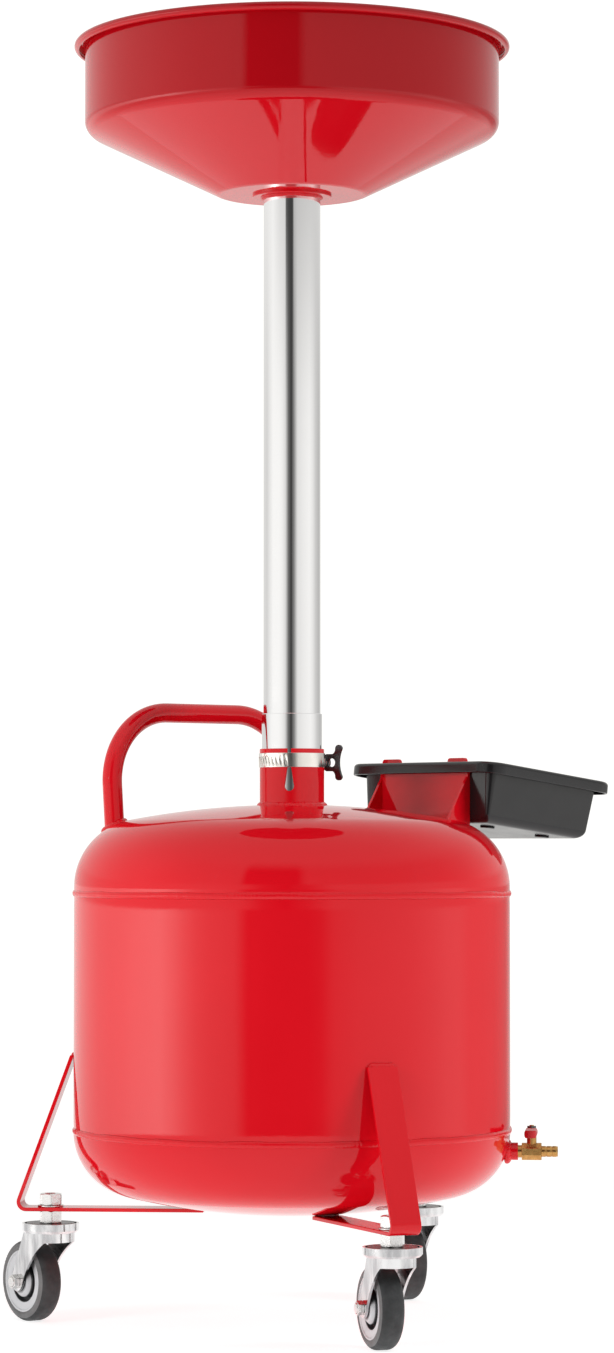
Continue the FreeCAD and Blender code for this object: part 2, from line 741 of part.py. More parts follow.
def valve_lever():
    """Points along -Y when the valve is shut."""
    half = LEVER_WIDTH / 2
    x = valve_middle()
    plate = block(x - half, x + half, -LEVER_LONG + half, 0, LEVER_BOTTOM, LEVER_BOTTOM + LEVER_THICK)
    ends = [rod(half, Vector(x, y, LEVER_BOTTOM), Vector(x, y, LEVER_BOTTOM + LEVER_THICK))
            for y in (0, -LEVER_LONG + half)]
    hole = rod(STEM_SHAFT_R, Vector(x, 0, LEVER_BOTTOM - 1), Vector(x, 0, PACKING_TOP + 2 * LEVER_THICK))
    return plate.fuse(ends).removeSplitter().cut(hole)


def lever_grip():
    """A dipped vinyl sleeve over the lever's free end."""
    r = LEVER_WIDTH / 2 + GRIP_WALL
    x = valve_middle()
    middle = LEVER_BOTTOM + LEVER_THICK / 2
    tip = LEVER_WIDTH / 2 - LEVER_LONG
    half = GRIP_HIGH / 2
    sleeve = block(x - r, x + r, tip, tip + GRIP_LONG, middle - half, middle + half)
    end = rod(r, Vector(x, tip, middle - half), Vector(x, tip, middle + half))
    sleeve = sleeve.fuse(end).removeSplitter()
    crown = rod(r, Vector(x, tip - r, middle), Vector(x, tip + GRIP_LONG, middle))
    return sleeve.common(crown).cut(valve_lever())


def lever_nut():
    bottom = LEVER_BOTTOM + LEVER_THICK
    return moved(hexagon(LEVER_NUT_FLATS, bottom, bottom + LEVER_NUT_HIGH, STEM_SHAFT_R), x=valve_middle())


def hose_barb():
    """Lathed along Z, then laid along +X: a threaded root in the body, then the ridges."""
    root = chamber_ends()[1]
    z = BOSS_OUT + VALVE_LONG
    steps = [(VALVE_CHAMBER_R, root), (VALVE_CHAMBER_R, z)]
    for i in range(BARB_RIDGES):
        bottom = z + i * (BARB_CONE + BARB_LAND)
        shoulder = bottom + BARB_LAND
        steps += [(BARB_R, bottom), (BARB_R, shoulder), (BARB_ROOT_R, shoulder + BARB_CONE)]
    steps.append((VALVE_BORE_R, z + BARB_RIDGES * (BARB_CONE + BARB_LAND)))
    barb = lathe((VALVE_BORE_R, root), *steps)
    return turned(barb, 90, axis=Vector(0, 1, 0))


def at_valve(shape):
    return moved(shape, z=VALVE_Z)


# Hose clamp: the housing is made with the screw's middle on +X and the key towards -Y, then turned

def clamp_band():
    band = ring(COLLAR_R + BAND_THICK, COLLAR_R, BAND_BOTTOM, BAND_TOP)
    middle = (BAND_BOTTOM + BAND_TOP) / 2
    first, last, step = BAND_SLOTS
    count = int((last - first) / step) + 1
    cuts = []
    for i in range(count):
        slot = block(COLLAR_R - 1, COLLAR_R + 2, -0.7, 0.7, -SLOT_HALF, SLOT_HALF)
        slot.rotate(ORIGIN, Vector(1, 0, 0), SLOT_LEAN)
        cuts.append(turned(moved(slot, z=middle), first + i * step))
    return band.cut(cuts)


def screw_rod(r, start, end):
    return rod(r, Vector(SCREW_OUT, -start, SCREW_Z), Vector(SCREW_OUT, -end, SCREW_Z))


def clamp_housing():
    saddle = block(COLLAR_R, SCREW_OUT, -HOUSING_HALF, HOUSING_HALF, SCREW_Z - HOUSING_R, SCREW_Z + HOUSING_R)
    barrel = screw_rod(HOUSING_R, -HOUSING_HALF, HOUSING_HALF)
    band_space = rod(COLLAR_R + BAND_THICK, Vector(0, 0, COLLAR_BOTTOM), Vector(0, 0, COLLAR_TOP))
    return saddle.fuse(barrel).cut([band_space, screw_rod(SCREW_R + RUN, -SCREW_HALF, SCREW_HALF)])


def clamp_screw():
    shank = screw_rod(KEY_SHANK_R, SCREW_HALF, KEY_SHANK_END)
    return screw_rod(SCREW_R, -SCREW_HALF, SCREW_HALF).fuse(shank)


def wing_key():
    """A flat key that flares into two round lobes, with a hole in it, on a sleeve over the screw's shank."""
    lobe = (KEY_TIP - KEY_LOBE_R, KEY_HALF - KEY_LOBE_R)
    neck = (lobe[0] - KEY_LOBE_R, lobe[1])
    tip = (KEY_TIP, lobe[1])
    flare = ((KEY_WAIST_OUT + neck[0]) / 2 + 0.6, (KEY_WAIST + neck[1]) / 2 - 0.5)
    fan = section((KEY_START, -KEY_ROOT), (KEY_SHOULDER, -KEY_WAIST), (KEY_WAIST_OUT, -KEY_WAIST),
                  ((flare[0], -flare[1]), (neck[0], -neck[1])), ((lobe[0], -KEY_HALF), (tip[0], -tip[1])),
                  ((KEY_TIP - KEY_DISH, 0), tip), ((lobe[0], KEY_HALF), neck),
                  (flare, (KEY_WAIST_OUT, KEY_WAIST)), (KEY_SHOULDER, KEY_WAIST), (KEY_START, KEY_ROOT))
    plate = moved(fan.extrude(Vector(0, KEY_THICK, 0)), y=-KEY_THICK / 2)
    plate.rotate(ORIGIN, UP, -90)
    plate.translate(Vector(SCREW_OUT, 0, SCREW_Z))
    sleeve = screw_rod(KEY_SHANK_R + 1.6, KEY_START, KEY_SHANK_END)
    hole = rod(KEY_HOLE_R, Vector(SCREW_OUT - 5, -KEY_HOLE_OUT, SCREW_Z),
               Vector(SCREW_OUT + 5, -KEY_HOLE_OUT, SCREW_Z))
    return plate.fuse(sleeve).cut([hole, screw_rod(KEY_SHANK_R, SCREW_HALF, KEY_SHANK_END)])


def at_clamp(shape):
    return turned(shape, CLAMP_AZIMUTH)


# Mast and bowl

def guide_bush():
    bottom = INNER_TUBE_BOTTOM - GUIDE_LENGTH
    spigot_r = INNER_TUBE_BORE - RUN
    step = INNER_TUBE_BOTTOM - RUN
    top = INNER_TUBE_BOTTOM + GUIDE_SPIGOT
    return lathe((spigot_r - GUIDE_WALL, bottom), (INNER_TUBE_R, bottom), (INNER_TUBE_R, step),
                 (spigot_r, step), (spigot_r, top), (spigot_r - GUIDE_WALL, top))


def bent(before, corner, after, r):
    """The start, middle and end of an arc of radius r that rounds a corner."""
    a = (Vector(*before, 0) - Vector(*corner, 0)).normalize()
    b = (Vector(*after, 0) - Vector(*corner, 0)).normalize()
    half = a.getAngle(b) / 2
    centre = Vector(*corner, 0) + (a + b).normalize() * (r / math.sin(half))
    start = Vector(*corner, 0) + a * (r / math.tan(half))
    end = Vector(*corner, 0) + b * (r / math.tan(half))
    middle = centre + (Vector(*corner, 0) - centre).normalize() * r
    return [(p.x, p.y) for p in (start, middle, end)]


def bowl_shell():
    """One spun sheet: flat round the outlet, a cone, an upright wall and a rolled rim."""
    t = BOWL_SHEET
    slope = math.atan2(BOWL_KNEE_Z - BOWL_BOTTOM, BOWL_WALL_R - BOWL_FLAT_R)
    shift = t * math.tan(slope / 2)
    knee_shift = t * math.tan((math.pi / 2 - slope) / 2)
    outlet = (INNER_TUBE_BORE, BOWL_BOTTOM)
    top = (BOWL_WALL_R, CURL_Z)
    heel = bent(outlet, (BOWL_FLAT_R, BOWL_BOTTOM), (BOWL_WALL_R, BOWL_KNEE_Z), BOWL_HEEL_R + t)
    knee = bent((BOWL_FLAT_R, BOWL_BOTTOM), (BOWL_WALL_R, BOWL_KNEE_Z), top, BOWL_KNEE_R)
    heel_in = bent((INNER_TUBE_BORE, BOWL_BOTTOM + t), (BOWL_FLAT_R - shift, BOWL_BOTTOM + t),
                   (BOWL_WALL_R - t, BOWL_KNEE_Z + knee_shift), BOWL_HEEL_R)
    knee_in = bent((BOWL_FLAT_R - shift, BOWL_BOTTOM + t), (BOWL_WALL_R - t, BOWL_KNEE_Z + knee_shift),
                   (BOWL_WALL_R - t, CURL_Z), BOWL_KNEE_R - t)
    curl = (BOWL_WALL_R - t / 2 + CURL_R, CURL_Z)
    lip = (curl[0] + CURL_FLAT, CURL_Z)
    mid_angle = (90 + CURL_END) / 2
    near = CURL_R - t / 2
    far = CURL_R + t / 2
    return lathe(outlet, heel[0], (heel[1], heel[2]), knee[0], (knee[1], knee[2]), top,
                 (on_circle(*curl, near, 135), on_circle(*curl, near, 90)), on_circle(*lip, near, 90),
                 (on_circle(*lip, near, mid_angle), on_circle(*lip, near, CURL_END)),
                 on_circle(*lip, far, CURL_END),
                 (on_circle(*lip, far, mid_angle), on_circle(*lip, far, 90)), on_circle(*curl, far, 90),
                 (on_circle(*curl, far, 135), (BOWL_WALL_R - t, CURL_Z)),
                 knee_in[2], (knee_in[1], knee_in[0]), heel_in[2], (heel_in[1], heel_in[0]),
                 (INNER_TUBE_BORE, BOWL_BOTTOM + t))


def strainer():
    """A perforated disc over the outlet: rings of holes round a middle one."""
    bottom = BOWL_BOTTOM + BOWL_SHEET
    disc = ring(STRAINER_R, STRAINER_HOLE_R, bottom, bottom + STRAINER_THICK)
    holes = []
    rings = int((STRAINER_R - STRAINER_PITCH) / STRAINER_PITCH)
    for k in range(1, rings + 1):
        for i in range(6 * k):
            centre = point(k * STRAINER_PITCH, 60.0 * i / k, bottom - 1)
            holes.append(rod(STRAINER_HOLE_R, centre, centre + UP * (STRAINER_THICK + 2)))
    return disc.cut(holes)


# The whole object

def all_parts():
    tank = tank_space()
    boss_hole = at_valve(x_rod(BOSS_R, BOSS_IN, BOSS_OUT))
    collar_space = rod(COLLAR_R, Vector(0, 0, COLLAR_BOTTOM), Vector(0, 0, COLLAR_TOP))
    handle = handle_rod(HANDLE_TUBE_R)
    bracket = tray_bracket(tank)
    bar = leg()

    parts = {}
    parts["tank_top_head"] = moved(UPPER.sheet(COLLAR_R), z=KNUCKLE_TOP)
    parts["tank_shell"] = ring(TANK_R, TANK_R - TANK_WALL, SEAM_BOTTOM, SEAM_TOP)
    parts["tank_bottom_head"] = upside_down(LOWER.sheet(0), KNUCKLE_BOTTOM).cut(boss_hole)
    parts["seam_welds"] = Part.makeCompound([seam_bead(SEAM_BOTTOM), seam_bead(SEAM_TOP)])
    parts["neck_collar"] = neck_collar()
    parts["handle_tube"] = handle.cut([handle_rod(HANDLE_TUBE_R - HANDLE_TUBE_WALL), tank])
    parts["tray_bracket"] = bracket

    neck_weld = Part.makeTorus(COLLAR_R, WELD_R, Vector(0, 0, dome_top(COLLAR_R)), UP)
    boss_root = Vector(lower_head_radius(VALVE_Z), 0, VALVE_Z)
    boss_weld = Part.makeTorus(BOSS_R, WELD_R, boss_root, Vector(1, 0, 0))
    welds = [neck_weld.cut([tank, collar_space]), boss_weld.cut([tank, boss_hole])]
    welds += handle_welds(tank, handle) + bracket_welds(tank, bracket)
    for azimuth in LEG_AZIMUTHS.values():
        welds += [turned(bead, azimuth) for bead in leg_welds(tank, bar)]
    parts["attachment_welds"] = Part.makeCompound([solid for weld in welds for solid in weld.Solids])

    for name, azimuth in LEG_AZIMUTHS.items():
        parts["leg_" + name] = turned(bar, azimuth)
    parts["caster_stems"] = for_each_caster(caster_stem)
    parts["caster_top_plates"] = for_each_caster(caster_plate)
    parts["stem_lower_nuts"] = for_each_caster(lower_nut)
    parts["stem_washers"] = for_each_caster(stem_washer)
    parts["stem_upper_nuts"] = for_each_caster(upper_nut)
    moving = {"fork": caster_fork, "race_balls": race_balls, "axle_bolt": axle_bolt, "axle_nut": axle_nut,
              "wheel_bush": wheel_bush, "wheel_core": wheel_core, "tyre": tyre}
    for name in LEG_AZIMUTHS:
        for kind, piece in moving.items():
            parts[kind + "_" + name] = at_caster(piece(), name)

    parts["drain_boss"] = at_valve(drain_boss())
    parts["valve_body"] = at_valve(valve_body())
    parts["valve_ball"] = at_valve(valve_ball())
    parts["valve_seats"] = at_valve(valve_seats())
    parts["valve_stem"] = at_valve(valve_stem())
    parts["packing_nut"] = at_valve(packing_nut())
    parts["valve_lever"] = at_valve(valve_lever())
    parts["lever_grip"] = at_valve(lever_grip())
    parts["lever_nut"] = at_valve(lever_nut())
    parts["hose_barb"] = at_valve(hose_barb())

    parts["clamp_band"] = clamp_band()
    parts["clamp_housing"] = at_clamp(clamp_housing())
    parts["clamp_screw"] = at_clamp(clamp_screw())
    parts["wing_key"] = at_clamp(wing_key())

    parts["outer_mast_tube"] = ring(OUTER_TUBE_R, INNER_TUBE_R + RUN, OUTER_TUBE_BOTTOM, OUTER_TUBE_TOP)
    parts["guide_bush"] = guide_bush()
    parts["inner_mast_tube"] = ring(INNER_TUBE_R, INNER_TUBE_BORE, INNER_TUBE_BOTTOM, BOWL_BOTTOM)
    parts["bowl_ring"] = ring(BOWL_RING_R, INNER_TUBE_R, BOWL_BOTTOM - BOWL_RING_THICK, BOWL_BOTTOM)
    parts["bowl_shell"] = bowl_shell()
    parts["strainer"] = strainer()
    parts["tool_tray"] = tool_tray()
    return parts


def middle_of(parts):
    box = Part.makeCompound(list(parts.values())).optimalBoundingBox(False, False)
    return Vector((box.XMin + box.XMax) / 2, (box.YMin + box.YMax) / 2, 0)


os.makedirs("parts", exist_ok=True)
PARTS = all_parts()
SHIFT = middle_of(PARTS)
for node, shape in PARTS.items():
    shape.translate(Vector(-SHIFT.x, -SHIFT.y, 0))
    shape.exportStep("parts/" + node + ".step")
print("tank axis at X %.4f, Y %.4f; %d nodes" % (-SHIFT.x, -SHIFT.y, len(PARTS)))
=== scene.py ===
"""Looks of the upright oil drain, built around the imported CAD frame. Metres, +Z up, CAD frame."""

import json
import math

import bmesh
import bpy
from mathutils import Matrix, Vector, noise


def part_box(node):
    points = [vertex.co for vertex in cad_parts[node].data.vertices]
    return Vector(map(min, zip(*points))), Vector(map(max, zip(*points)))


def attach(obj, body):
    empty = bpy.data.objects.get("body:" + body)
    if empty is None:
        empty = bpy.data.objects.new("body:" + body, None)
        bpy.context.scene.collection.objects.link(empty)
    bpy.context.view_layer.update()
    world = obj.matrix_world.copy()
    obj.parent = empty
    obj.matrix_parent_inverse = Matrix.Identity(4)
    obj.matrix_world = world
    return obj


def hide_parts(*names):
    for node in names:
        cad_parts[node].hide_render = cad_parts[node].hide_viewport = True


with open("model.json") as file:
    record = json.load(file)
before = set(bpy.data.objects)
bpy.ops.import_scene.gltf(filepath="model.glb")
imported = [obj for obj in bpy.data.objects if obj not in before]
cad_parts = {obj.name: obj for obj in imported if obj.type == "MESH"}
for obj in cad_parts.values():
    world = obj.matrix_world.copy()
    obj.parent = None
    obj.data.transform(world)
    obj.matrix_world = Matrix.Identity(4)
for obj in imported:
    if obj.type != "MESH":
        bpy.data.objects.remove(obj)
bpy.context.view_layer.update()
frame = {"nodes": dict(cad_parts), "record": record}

MM = 0.001
SEGMENTS = 256


# Places, read from the frame

def low(node):
    return Vector(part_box(node)[0])


def high(node):
    return Vector(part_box(node)[1])


def middle(node):
    return (low(node) + high(node)) / 2


AXIS = Vector((middle("tank_shell").x, middle("tank_shell").y, 0.0))
JOINTS = {joint["name"]: joint for joint in frame["record"]["behaviour"]["joints"]}
SIDES = ("left", "front", "rear")


def joint_place(name):
    return Vector(JOINTS[name]["pos_m"])


def flat(v):
    return Vector((v.x, v.y, 0.0))


def heading(v):
    return math.atan2(v.y, v.x)


# Camera: level with the tank's upper half, a little to the right, far away with a long lens

CAMERA_AZIMUTH = math.radians(5.0)
CAMERA_DISTANCE = 3.3
CAMERA_HEIGHT = 0.389
CAMERA_LENS = 109.1
CAMERA_YAW = math.radians(0.21)
CAMERA_PITCH = math.radians(2.28)


def add_camera():
    data = bpy.data.cameras.new("camera")
    data.lens = CAMERA_LENS
    data.sensor_width = 36.0
    data.clip_end = 100.0
    camera = bpy.data.objects.new("camera", data)
    bpy.context.scene.collection.objects.link(camera)
    away = Vector((math.sin(CAMERA_AZIMUTH), -math.cos(CAMERA_AZIMUTH), 0.0))
    camera.location = AXIS + away * CAMERA_DISTANCE + Vector((0, 0, CAMERA_HEIGHT))
    camera.rotation_euler = (math.pi / 2 + CAMERA_PITCH, 0.0, CAMERA_AZIMUTH - CAMERA_YAW)
    bpy.context.scene.camera = camera


# Studio: white surroundings with a dark gap in front, as between two large diffusers

# Three bands of the wall seen in reflections, low, middle and high.
# Each row is degrees from the gap, positive to +X, and radiance.
WALL_LOW = ((-180, 0.85), (-161, 0.93), (-137, 1.1), (-122, 1.25), (-110, 1.6), (-99, 2.15), (-90, 2.8),
            (-73, 3.7), (-65, 3.0), (-58, 2.1), (-51, 1.45), (-44, 1.15), (-30, 0.92), (-23, 0.14),
            (-10, 0.1), (9, 0.11), (15, 0.2), (22, 0.6), (35, 0.83), (49, 0.92), (63, 1.0), (79, 1.2),
            (88, 1.3), (97, 1.2), (107, 0.8), (119, 0.58), (133, 0.4), (153, 0.31), (180, 0.85))
WALL_MIDDLE = ((-180, 0.8), (-122, 0.7), (-100, 0.87), (-83, 1.0), (-53, 1.0), (-40, 0.93), (-27, 0.76),
               (-15, 0.17), (-3, 0.035), (9, 0.26), (22, 0.8), (47, 0.9), (75, 0.97), (92, 0.86), (111, 0.64),
               (137, 0.5), (180, 0.8))
WALL_HIGH = ((-180, 0.8), (-84, 0.94), (-51, 0.75), (-28, 0.72), (-24, 0.05), (3, 0.05), (8, 0.55), (90, 0.62),
             (180, 0.8))
WALL_TOP = 4.0                       # the brightest level a band can take
SKY = 0.87
GROUND = 0.8
BACKDROP = 1.1                       # what the camera sees behind the object
AMBIENT = 0.5                        # share of the walls' light that reaches matt surfaces

# Where one band turns into the next, as the height of a unit direction: start, end
LOW_TO_MIDDLE = (-0.004, 0.01)
MIDDLE_TO_HIGH = (0.09, 0.17)
HIGH_TO_SKY = (0.45, 0.75)
GROUND_TO_WALL = (-0.3, -0.16)

FLOOR_R = 1.6
LAMP_SIZE = 0.5
LAMP_SPREAD = math.radians(55.0)


def link(tree, source, target):
    tree.links.new(source, target)


def math_node(tree, operation, *inputs):
    node = tree.nodes.new("ShaderNodeMath")
    node.operation = operation
    for i, value in enumerate(inputs):
        if isinstance(value, (int, float)):
            node.inputs[i].default_value = value
        else:
            link(tree, value, node.inputs[i])
    return node.outputs[0]


def wall_band(tree, turn, table):
    """Radiance round the wall from a table of degrees and levels."""
    ramp = tree.nodes.new("ShaderNodeValToRGB")
    link(tree, turn, ramp.inputs[0])
    elements = ramp.color_ramp.elements
    elements.remove(elements[1])
    for i, (degrees, level) in enumerate(table):
        spot = degrees / 360 + 0.5
        element = elements[0] if i == 0 else elements.new(spot)
        element.position = spot
        grey = level / WALL_TOP
        element.color = (grey, grey, grey, 1.0)
    return math_node(tree, "MULTIPLY", ramp.outputs[0], WALL_TOP)


def blended(tree, value, start, end, below, above):
    """Goes smoothly from one level to another while a value climbs from start to end."""
    step = tree.nodes.new("ShaderNodeMapRange")
    step.interpolation_type = "SMOOTHSTEP"
    step.inputs["From Min"].default_value = start
    step.inputs["From Max"].default_value = end
    link(tree, value, step.inputs["Value"])
    rise = math_node(tree, "MULTIPLY", math_node(tree, "SUBTRACT", above, below), step.outputs[0])
    return math_node(tree, "ADD", rise, below)


def studio_world():
    world = bpy.data.worlds.new("studio")
    bpy.context.scene.world = world
    world.use_nodes = True
    tree = world.node_tree
    tree.nodes.clear()
    place = tree.nodes.new("ShaderNodeTexCoord")
    parts = tree.nodes.new("ShaderNodeSeparateXYZ")
    link(tree, place.outputs["Generated"], parts.inputs[0])
    x, y, z = parts.outputs
    ahead = Vector((math.sin(CAMERA_AZIMUTH), -math.cos(CAMERA_AZIMUTH)))
    forward = math_node(tree, "ADD", math_node(tree, "MULTIPLY", x, ahead.x),
                        math_node(tree, "MULTIPLY", y, ahead.y))
    right = math_node(tree, "SUBTRACT", math_node(tree, "MULTIPLY", x, -ahead.y),
                      math_node(tree, "MULTIPLY", y, -ahead.x))
    angle = math_node(tree, "ARCTAN2", right, forward)
    turn = math_node(tree, "ADD", math_node(tree, "DIVIDE", angle, 2 * math.pi), 0.5)
    level = blended(tree, z, *LOW_TO_MIDDLE, wall_band(tree, turn, WALL_LOW),
                    wall_band(tree, turn, WALL_MIDDLE))
    level = blended(tree, z, *MIDDLE_TO_HIGH, level, wall_band(tree, turn, WALL_HIGH))
    level = blended(tree, z, *HIGH_TO_SKY, level, SKY)
    level = blended(tree, z, *GROUND_TO_WALL, GROUND, level)
    paths = tree.nodes.new("ShaderNodeLightPath")
    dimmed = math_node(tree, "MULTIPLY", level, AMBIENT)
    level = blended(tree, paths.outputs["Is Diffuse Ray"], 0.0, 1.0, level, dimmed)
    level = blended(tree, paths.outputs["Is Camera Ray"], 0.0, 1.0, level, BACKDROP)
    background = tree.nodes.new("ShaderNodeBackground")
    background.inputs["Color"].default_value = (1.0, 0.99, 0.965, 1.0)
    link(tree, level, background.inputs["Strength"])
    output = tree.nodes.new("ShaderNodeOutputWorld")
    link(tree, background.outputs[0], output.inputs[0])


def add_floor():
    bpy.ops.mesh.primitive_circle_add(vertices=128, radius=FLOOR_R, fill_type="NGON", location=(0, 0, 0))
    floor = bpy.context.object
    floor.name = "floor"
    floor.data.materials.append(FLOOR)


def add_soft_light(name, degrees, distance, height, aim_height, power):
    """A square area light with a limited beam that points at a height on the tank's axis."""
    azimuth = math.radians(degrees)
    data = bpy.data.lights.new(name, "AREA")
    data.energy = power
    data.shape = "SQUARE"
    data.size = LAMP_SIZE
    data.spread = LAMP_SPREAD
    lamp = bpy.data.objects.new(name, data)
    bpy.context.scene.collection.objects.link(lamp)
    lamp.location = AXIS + Vector((math.cos(azimuth) * distance, math.sin(azimuth) * distance, height))
    aim = AXIS + Vector((0, 0, aim_height)) - lamp.location
    lamp.rotation_euler = aim.to_track_quat("-Z", "Y").to_euler()
    lamp.visible_glossy = False


# Materials

class Shader:
    """A principled material with a few helpers for its textures, all in object space."""

    def __init__(self, name, color, roughness=0.5, metallic=0.0, **extra):
        self.material = bpy.data.materials.new(name)
        self.material.use_nodes = True
        self.tree = self.material.node_tree
        self.base = self.tree.nodes["Principled BSDF"]
        self.set("Base Color", (*color, 1.0))
        self.set("Roughness", roughness)
        self.set("Metallic", metallic)
        for key, value in extra.items():
            self.set(key.replace("_", " "), value)
        self.coord = self.tree.nodes.new("ShaderNodeTexCoord").outputs["Object"]
        self.height = None

    def set(self, key, value):
        self.base.inputs[key].default_value = value

    def stretched(self, scale):
        mapping = self.tree.nodes.new("ShaderNodeMapping")
        mapping.inputs["Scale"].default_value = scale
        link(self.tree, self.coord, mapping.inputs[0])
        return mapping.outputs[0]

    def noise(self, per_metre, detail=3.0, rough=0.5, scale=(1, 1, 1)):
        node = self.tree.nodes.new("ShaderNodeTexNoise")
        node.inputs["Scale"].default_value = per_metre
        node.inputs["Detail"].default_value = detail
        node.inputs["Roughness"].default_value = rough
        link(self.tree, self.stretched(scale), node.inputs["Vector"])
        return node.outputs["Fac"]

    def ranged(self, value, low_in, high_in, low_out, high_out):
        node = self.tree.nodes.new("ShaderNodeMapRange")
        limits = {"From Min": low_in, "From Max": high_in, "To Min": low_out, "To Max": high_out}
        for key, number in limits.items():
            node.inputs[key].default_value = number
        link(self.tree, value, node.inputs["Value"])
        return node.outputs[0]

    def mixed(self, factor, color_a, color_b):
        node = self.tree.nodes.new("ShaderNodeMix")
        node.data_type = "RGBA"
        link(self.tree, factor, node.inputs["Factor"])
        for key, color in (("A", color_a), ("B", color_b)):
            socket = [s for s in node.inputs if s.name == key and s.type == "RGBA"][0]
            socket.default_value = (*color, 1.0)
        return [s for s in node.outputs if s.type == "RGBA"][0]

    def drive(self, key, output):
        link(self.tree, output, self.base.inputs[key])

    def bump(self, height, distance):
        """Adds a bump of some real height, in metres, on top of the earlier ones."""
        node = self.tree.nodes.new("ShaderNodeBump")
        node.inputs["Distance"].default_value = distance
        node.inputs["Strength"].default_value = 1.0
        link(self.tree, height, node.inputs["Height"])
        if self.height:
            link(self.tree, self.height, node.inputs["Normal"])
        self.height = node.outputs[0]
        link(self.tree, self.height, self.base.inputs["Normal"])
        return self.height


def red_paint():
    """Gloss red powder coat: deep red under a clear wet-looking skin, with faint orange peel and panel wave."""
    shader = Shader("red_paint", (0.74, 0.004, 0.012), roughness=0.32, Coat_Weight=1.0, Coat_Roughness=0.035,
                    Coat_IOR=1.42, Specular_IOR_Level=0.0)
    tone = shader.mixed(shader.noise(14, 4), (0.68, 0.003, 0.010), (0.74, 0.005, 0.014))
    shader.drive("Base Color", tone)
    shader.drive("Coat Roughness", shader.ranged(shader.noise(60, 5), 0.35, 0.7, 0.025, 0.06))
    shader.bump(shader.noise(9, 1.0), 0.00035)
    peel = shader.bump(shader.noise(330, 2.0), 0.000012)
    link(shader.tree, peel, shader.base.inputs["Coat Normal"])
    return shader.material


def chrome():
    """Bright chrome plate with faint drawn lines along the tube and slight haze."""
    shader = Shader("chrome", (0.93, 0.93, 0.94), roughness=0.05, metallic=1.0)
    lines = shader.noise(900, 3, scale=(1, 1, 0.02))
    haze = shader.noise(35, 5)
    shader.drive("Roughness", shader.ranged(haze, 0.3, 0.75, 0.035, 0.085))
    shader.bump(lines, 0.000004)
    return shader.material


def fork_chrome():
    """Bright nickel-chrome on pressed sheet, with soft waviness from the press."""
    shader = Shader("fork_chrome", (0.8, 0.8, 0.8), roughness=0.1, metallic=1.0)
    streaks = shader.ranged(shader.noise(110, 4, scale=(1, 1, 0.25)), 0.35, 0.65, 0, 1)
    shader.drive("Base Color", shader.mixed(streaks, (0.5, 0.5, 0.51), (0.88, 0.88, 0.88)))
    shader.drive("Roughness", shader.ranged(shader.noise(90, 5), 0.3, 0.75, 0.07, 0.17))
    shader.bump(shader.noise(120, 2), 0.00008)
    return shader.material


def metal(name, color, rough_low, rough_high, grain, depth, scale=(1, 1, 1)):
    """Bare or plated metal whose roughness and fine relief vary with a grain."""
    shader = Shader(name, color, metallic=1.0)
    shade = shader.noise(grain / 6, 4)
    dark = tuple(c * 0.86 for c in color)
    shader.drive("Base Color", shader.mixed(shade, dark, color))
    grains = shader.noise(grain, 4, scale=scale)
    shader.drive("Roughness", shader.ranged(grains, 0.3, 0.7, rough_low, rough_high))
    shader.bump(shader.noise(grain * 2, 3, scale=scale), depth)
    return shader.material


def brass():
    """Turned brass with warm and darker patches and turning lines."""
    shader = Shader("brass", (0.78, 0.5, 0.2), metallic=1.0)
    patches = shader.noise(240, 5, 0.6)
    shader.drive("Base Color", shader.mixed(patches, (0.3, 0.13, 0.03), (0.78, 0.48, 0.17)))
    shader.drive("Roughness", shader.ranged(shader.noise(420, 4), 0.3, 0.7, 0.16, 0.38))
    shader.bump(shader.noise(1500, 2, scale=(1, 0.15, 0.15)), 0.00002)
    return shader.material


def black_plastic():
    """Injection-moulded black plastic: satin, with a fine leathery grain."""
    shader = Shader("black_plastic", (0.010, 0.010, 0.011), roughness=0.34, Specular_IOR_Level=0.5)
    shader.drive("Roughness", shader.ranged(shader.noise(50, 4), 0.3, 0.7, 0.15, 0.24))
    cells = shader.tree.nodes.new("ShaderNodeTexVoronoi")
    cells.inputs["Scale"].default_value = 1300.0
    link(shader.tree, shader.coord, cells.inputs["Vector"])
    shader.bump(cells.outputs["Distance"], 0.00001)
    return shader.material


def rubber(name, color, dusty_color):
    """Cast grey-black tyre rubber, paler and dusty where it is scuffed."""
    shader = Shader(name, color, roughness=0.6, Specular_IOR_Level=0.35)
    dust = shader.ranged(shader.noise(70, 6, 0.65), 0.35, 0.75, 0, 1)
    shader.drive("Base Color", shader.mixed(dust, color, dusty_color))
    shader.drive("Roughness", shader.ranged(shader.noise(200, 4), 0.3, 0.7, 0.5, 0.72))
    shader.bump(shader.noise(900, 4), 0.00003)
    return shader.material


def plastic(name, color, rough_low, rough_high):
    """Plain moulded plastic with slight mottling and a fine grain."""
    shader = Shader(name, color, Specular_IOR_Level=0.45)
    dark = tuple(c * 0.9 for c in color)
    shader.drive("Base Color", shader.mixed(shader.noise(120, 4), dark, color))
    shader.drive("Roughness", shader.ranged(shader.noise(90, 4), 0.3, 0.7, rough_low, rough_high))
    shader.bump(shader.noise(1400, 2), 0.00001)
    return shader.material


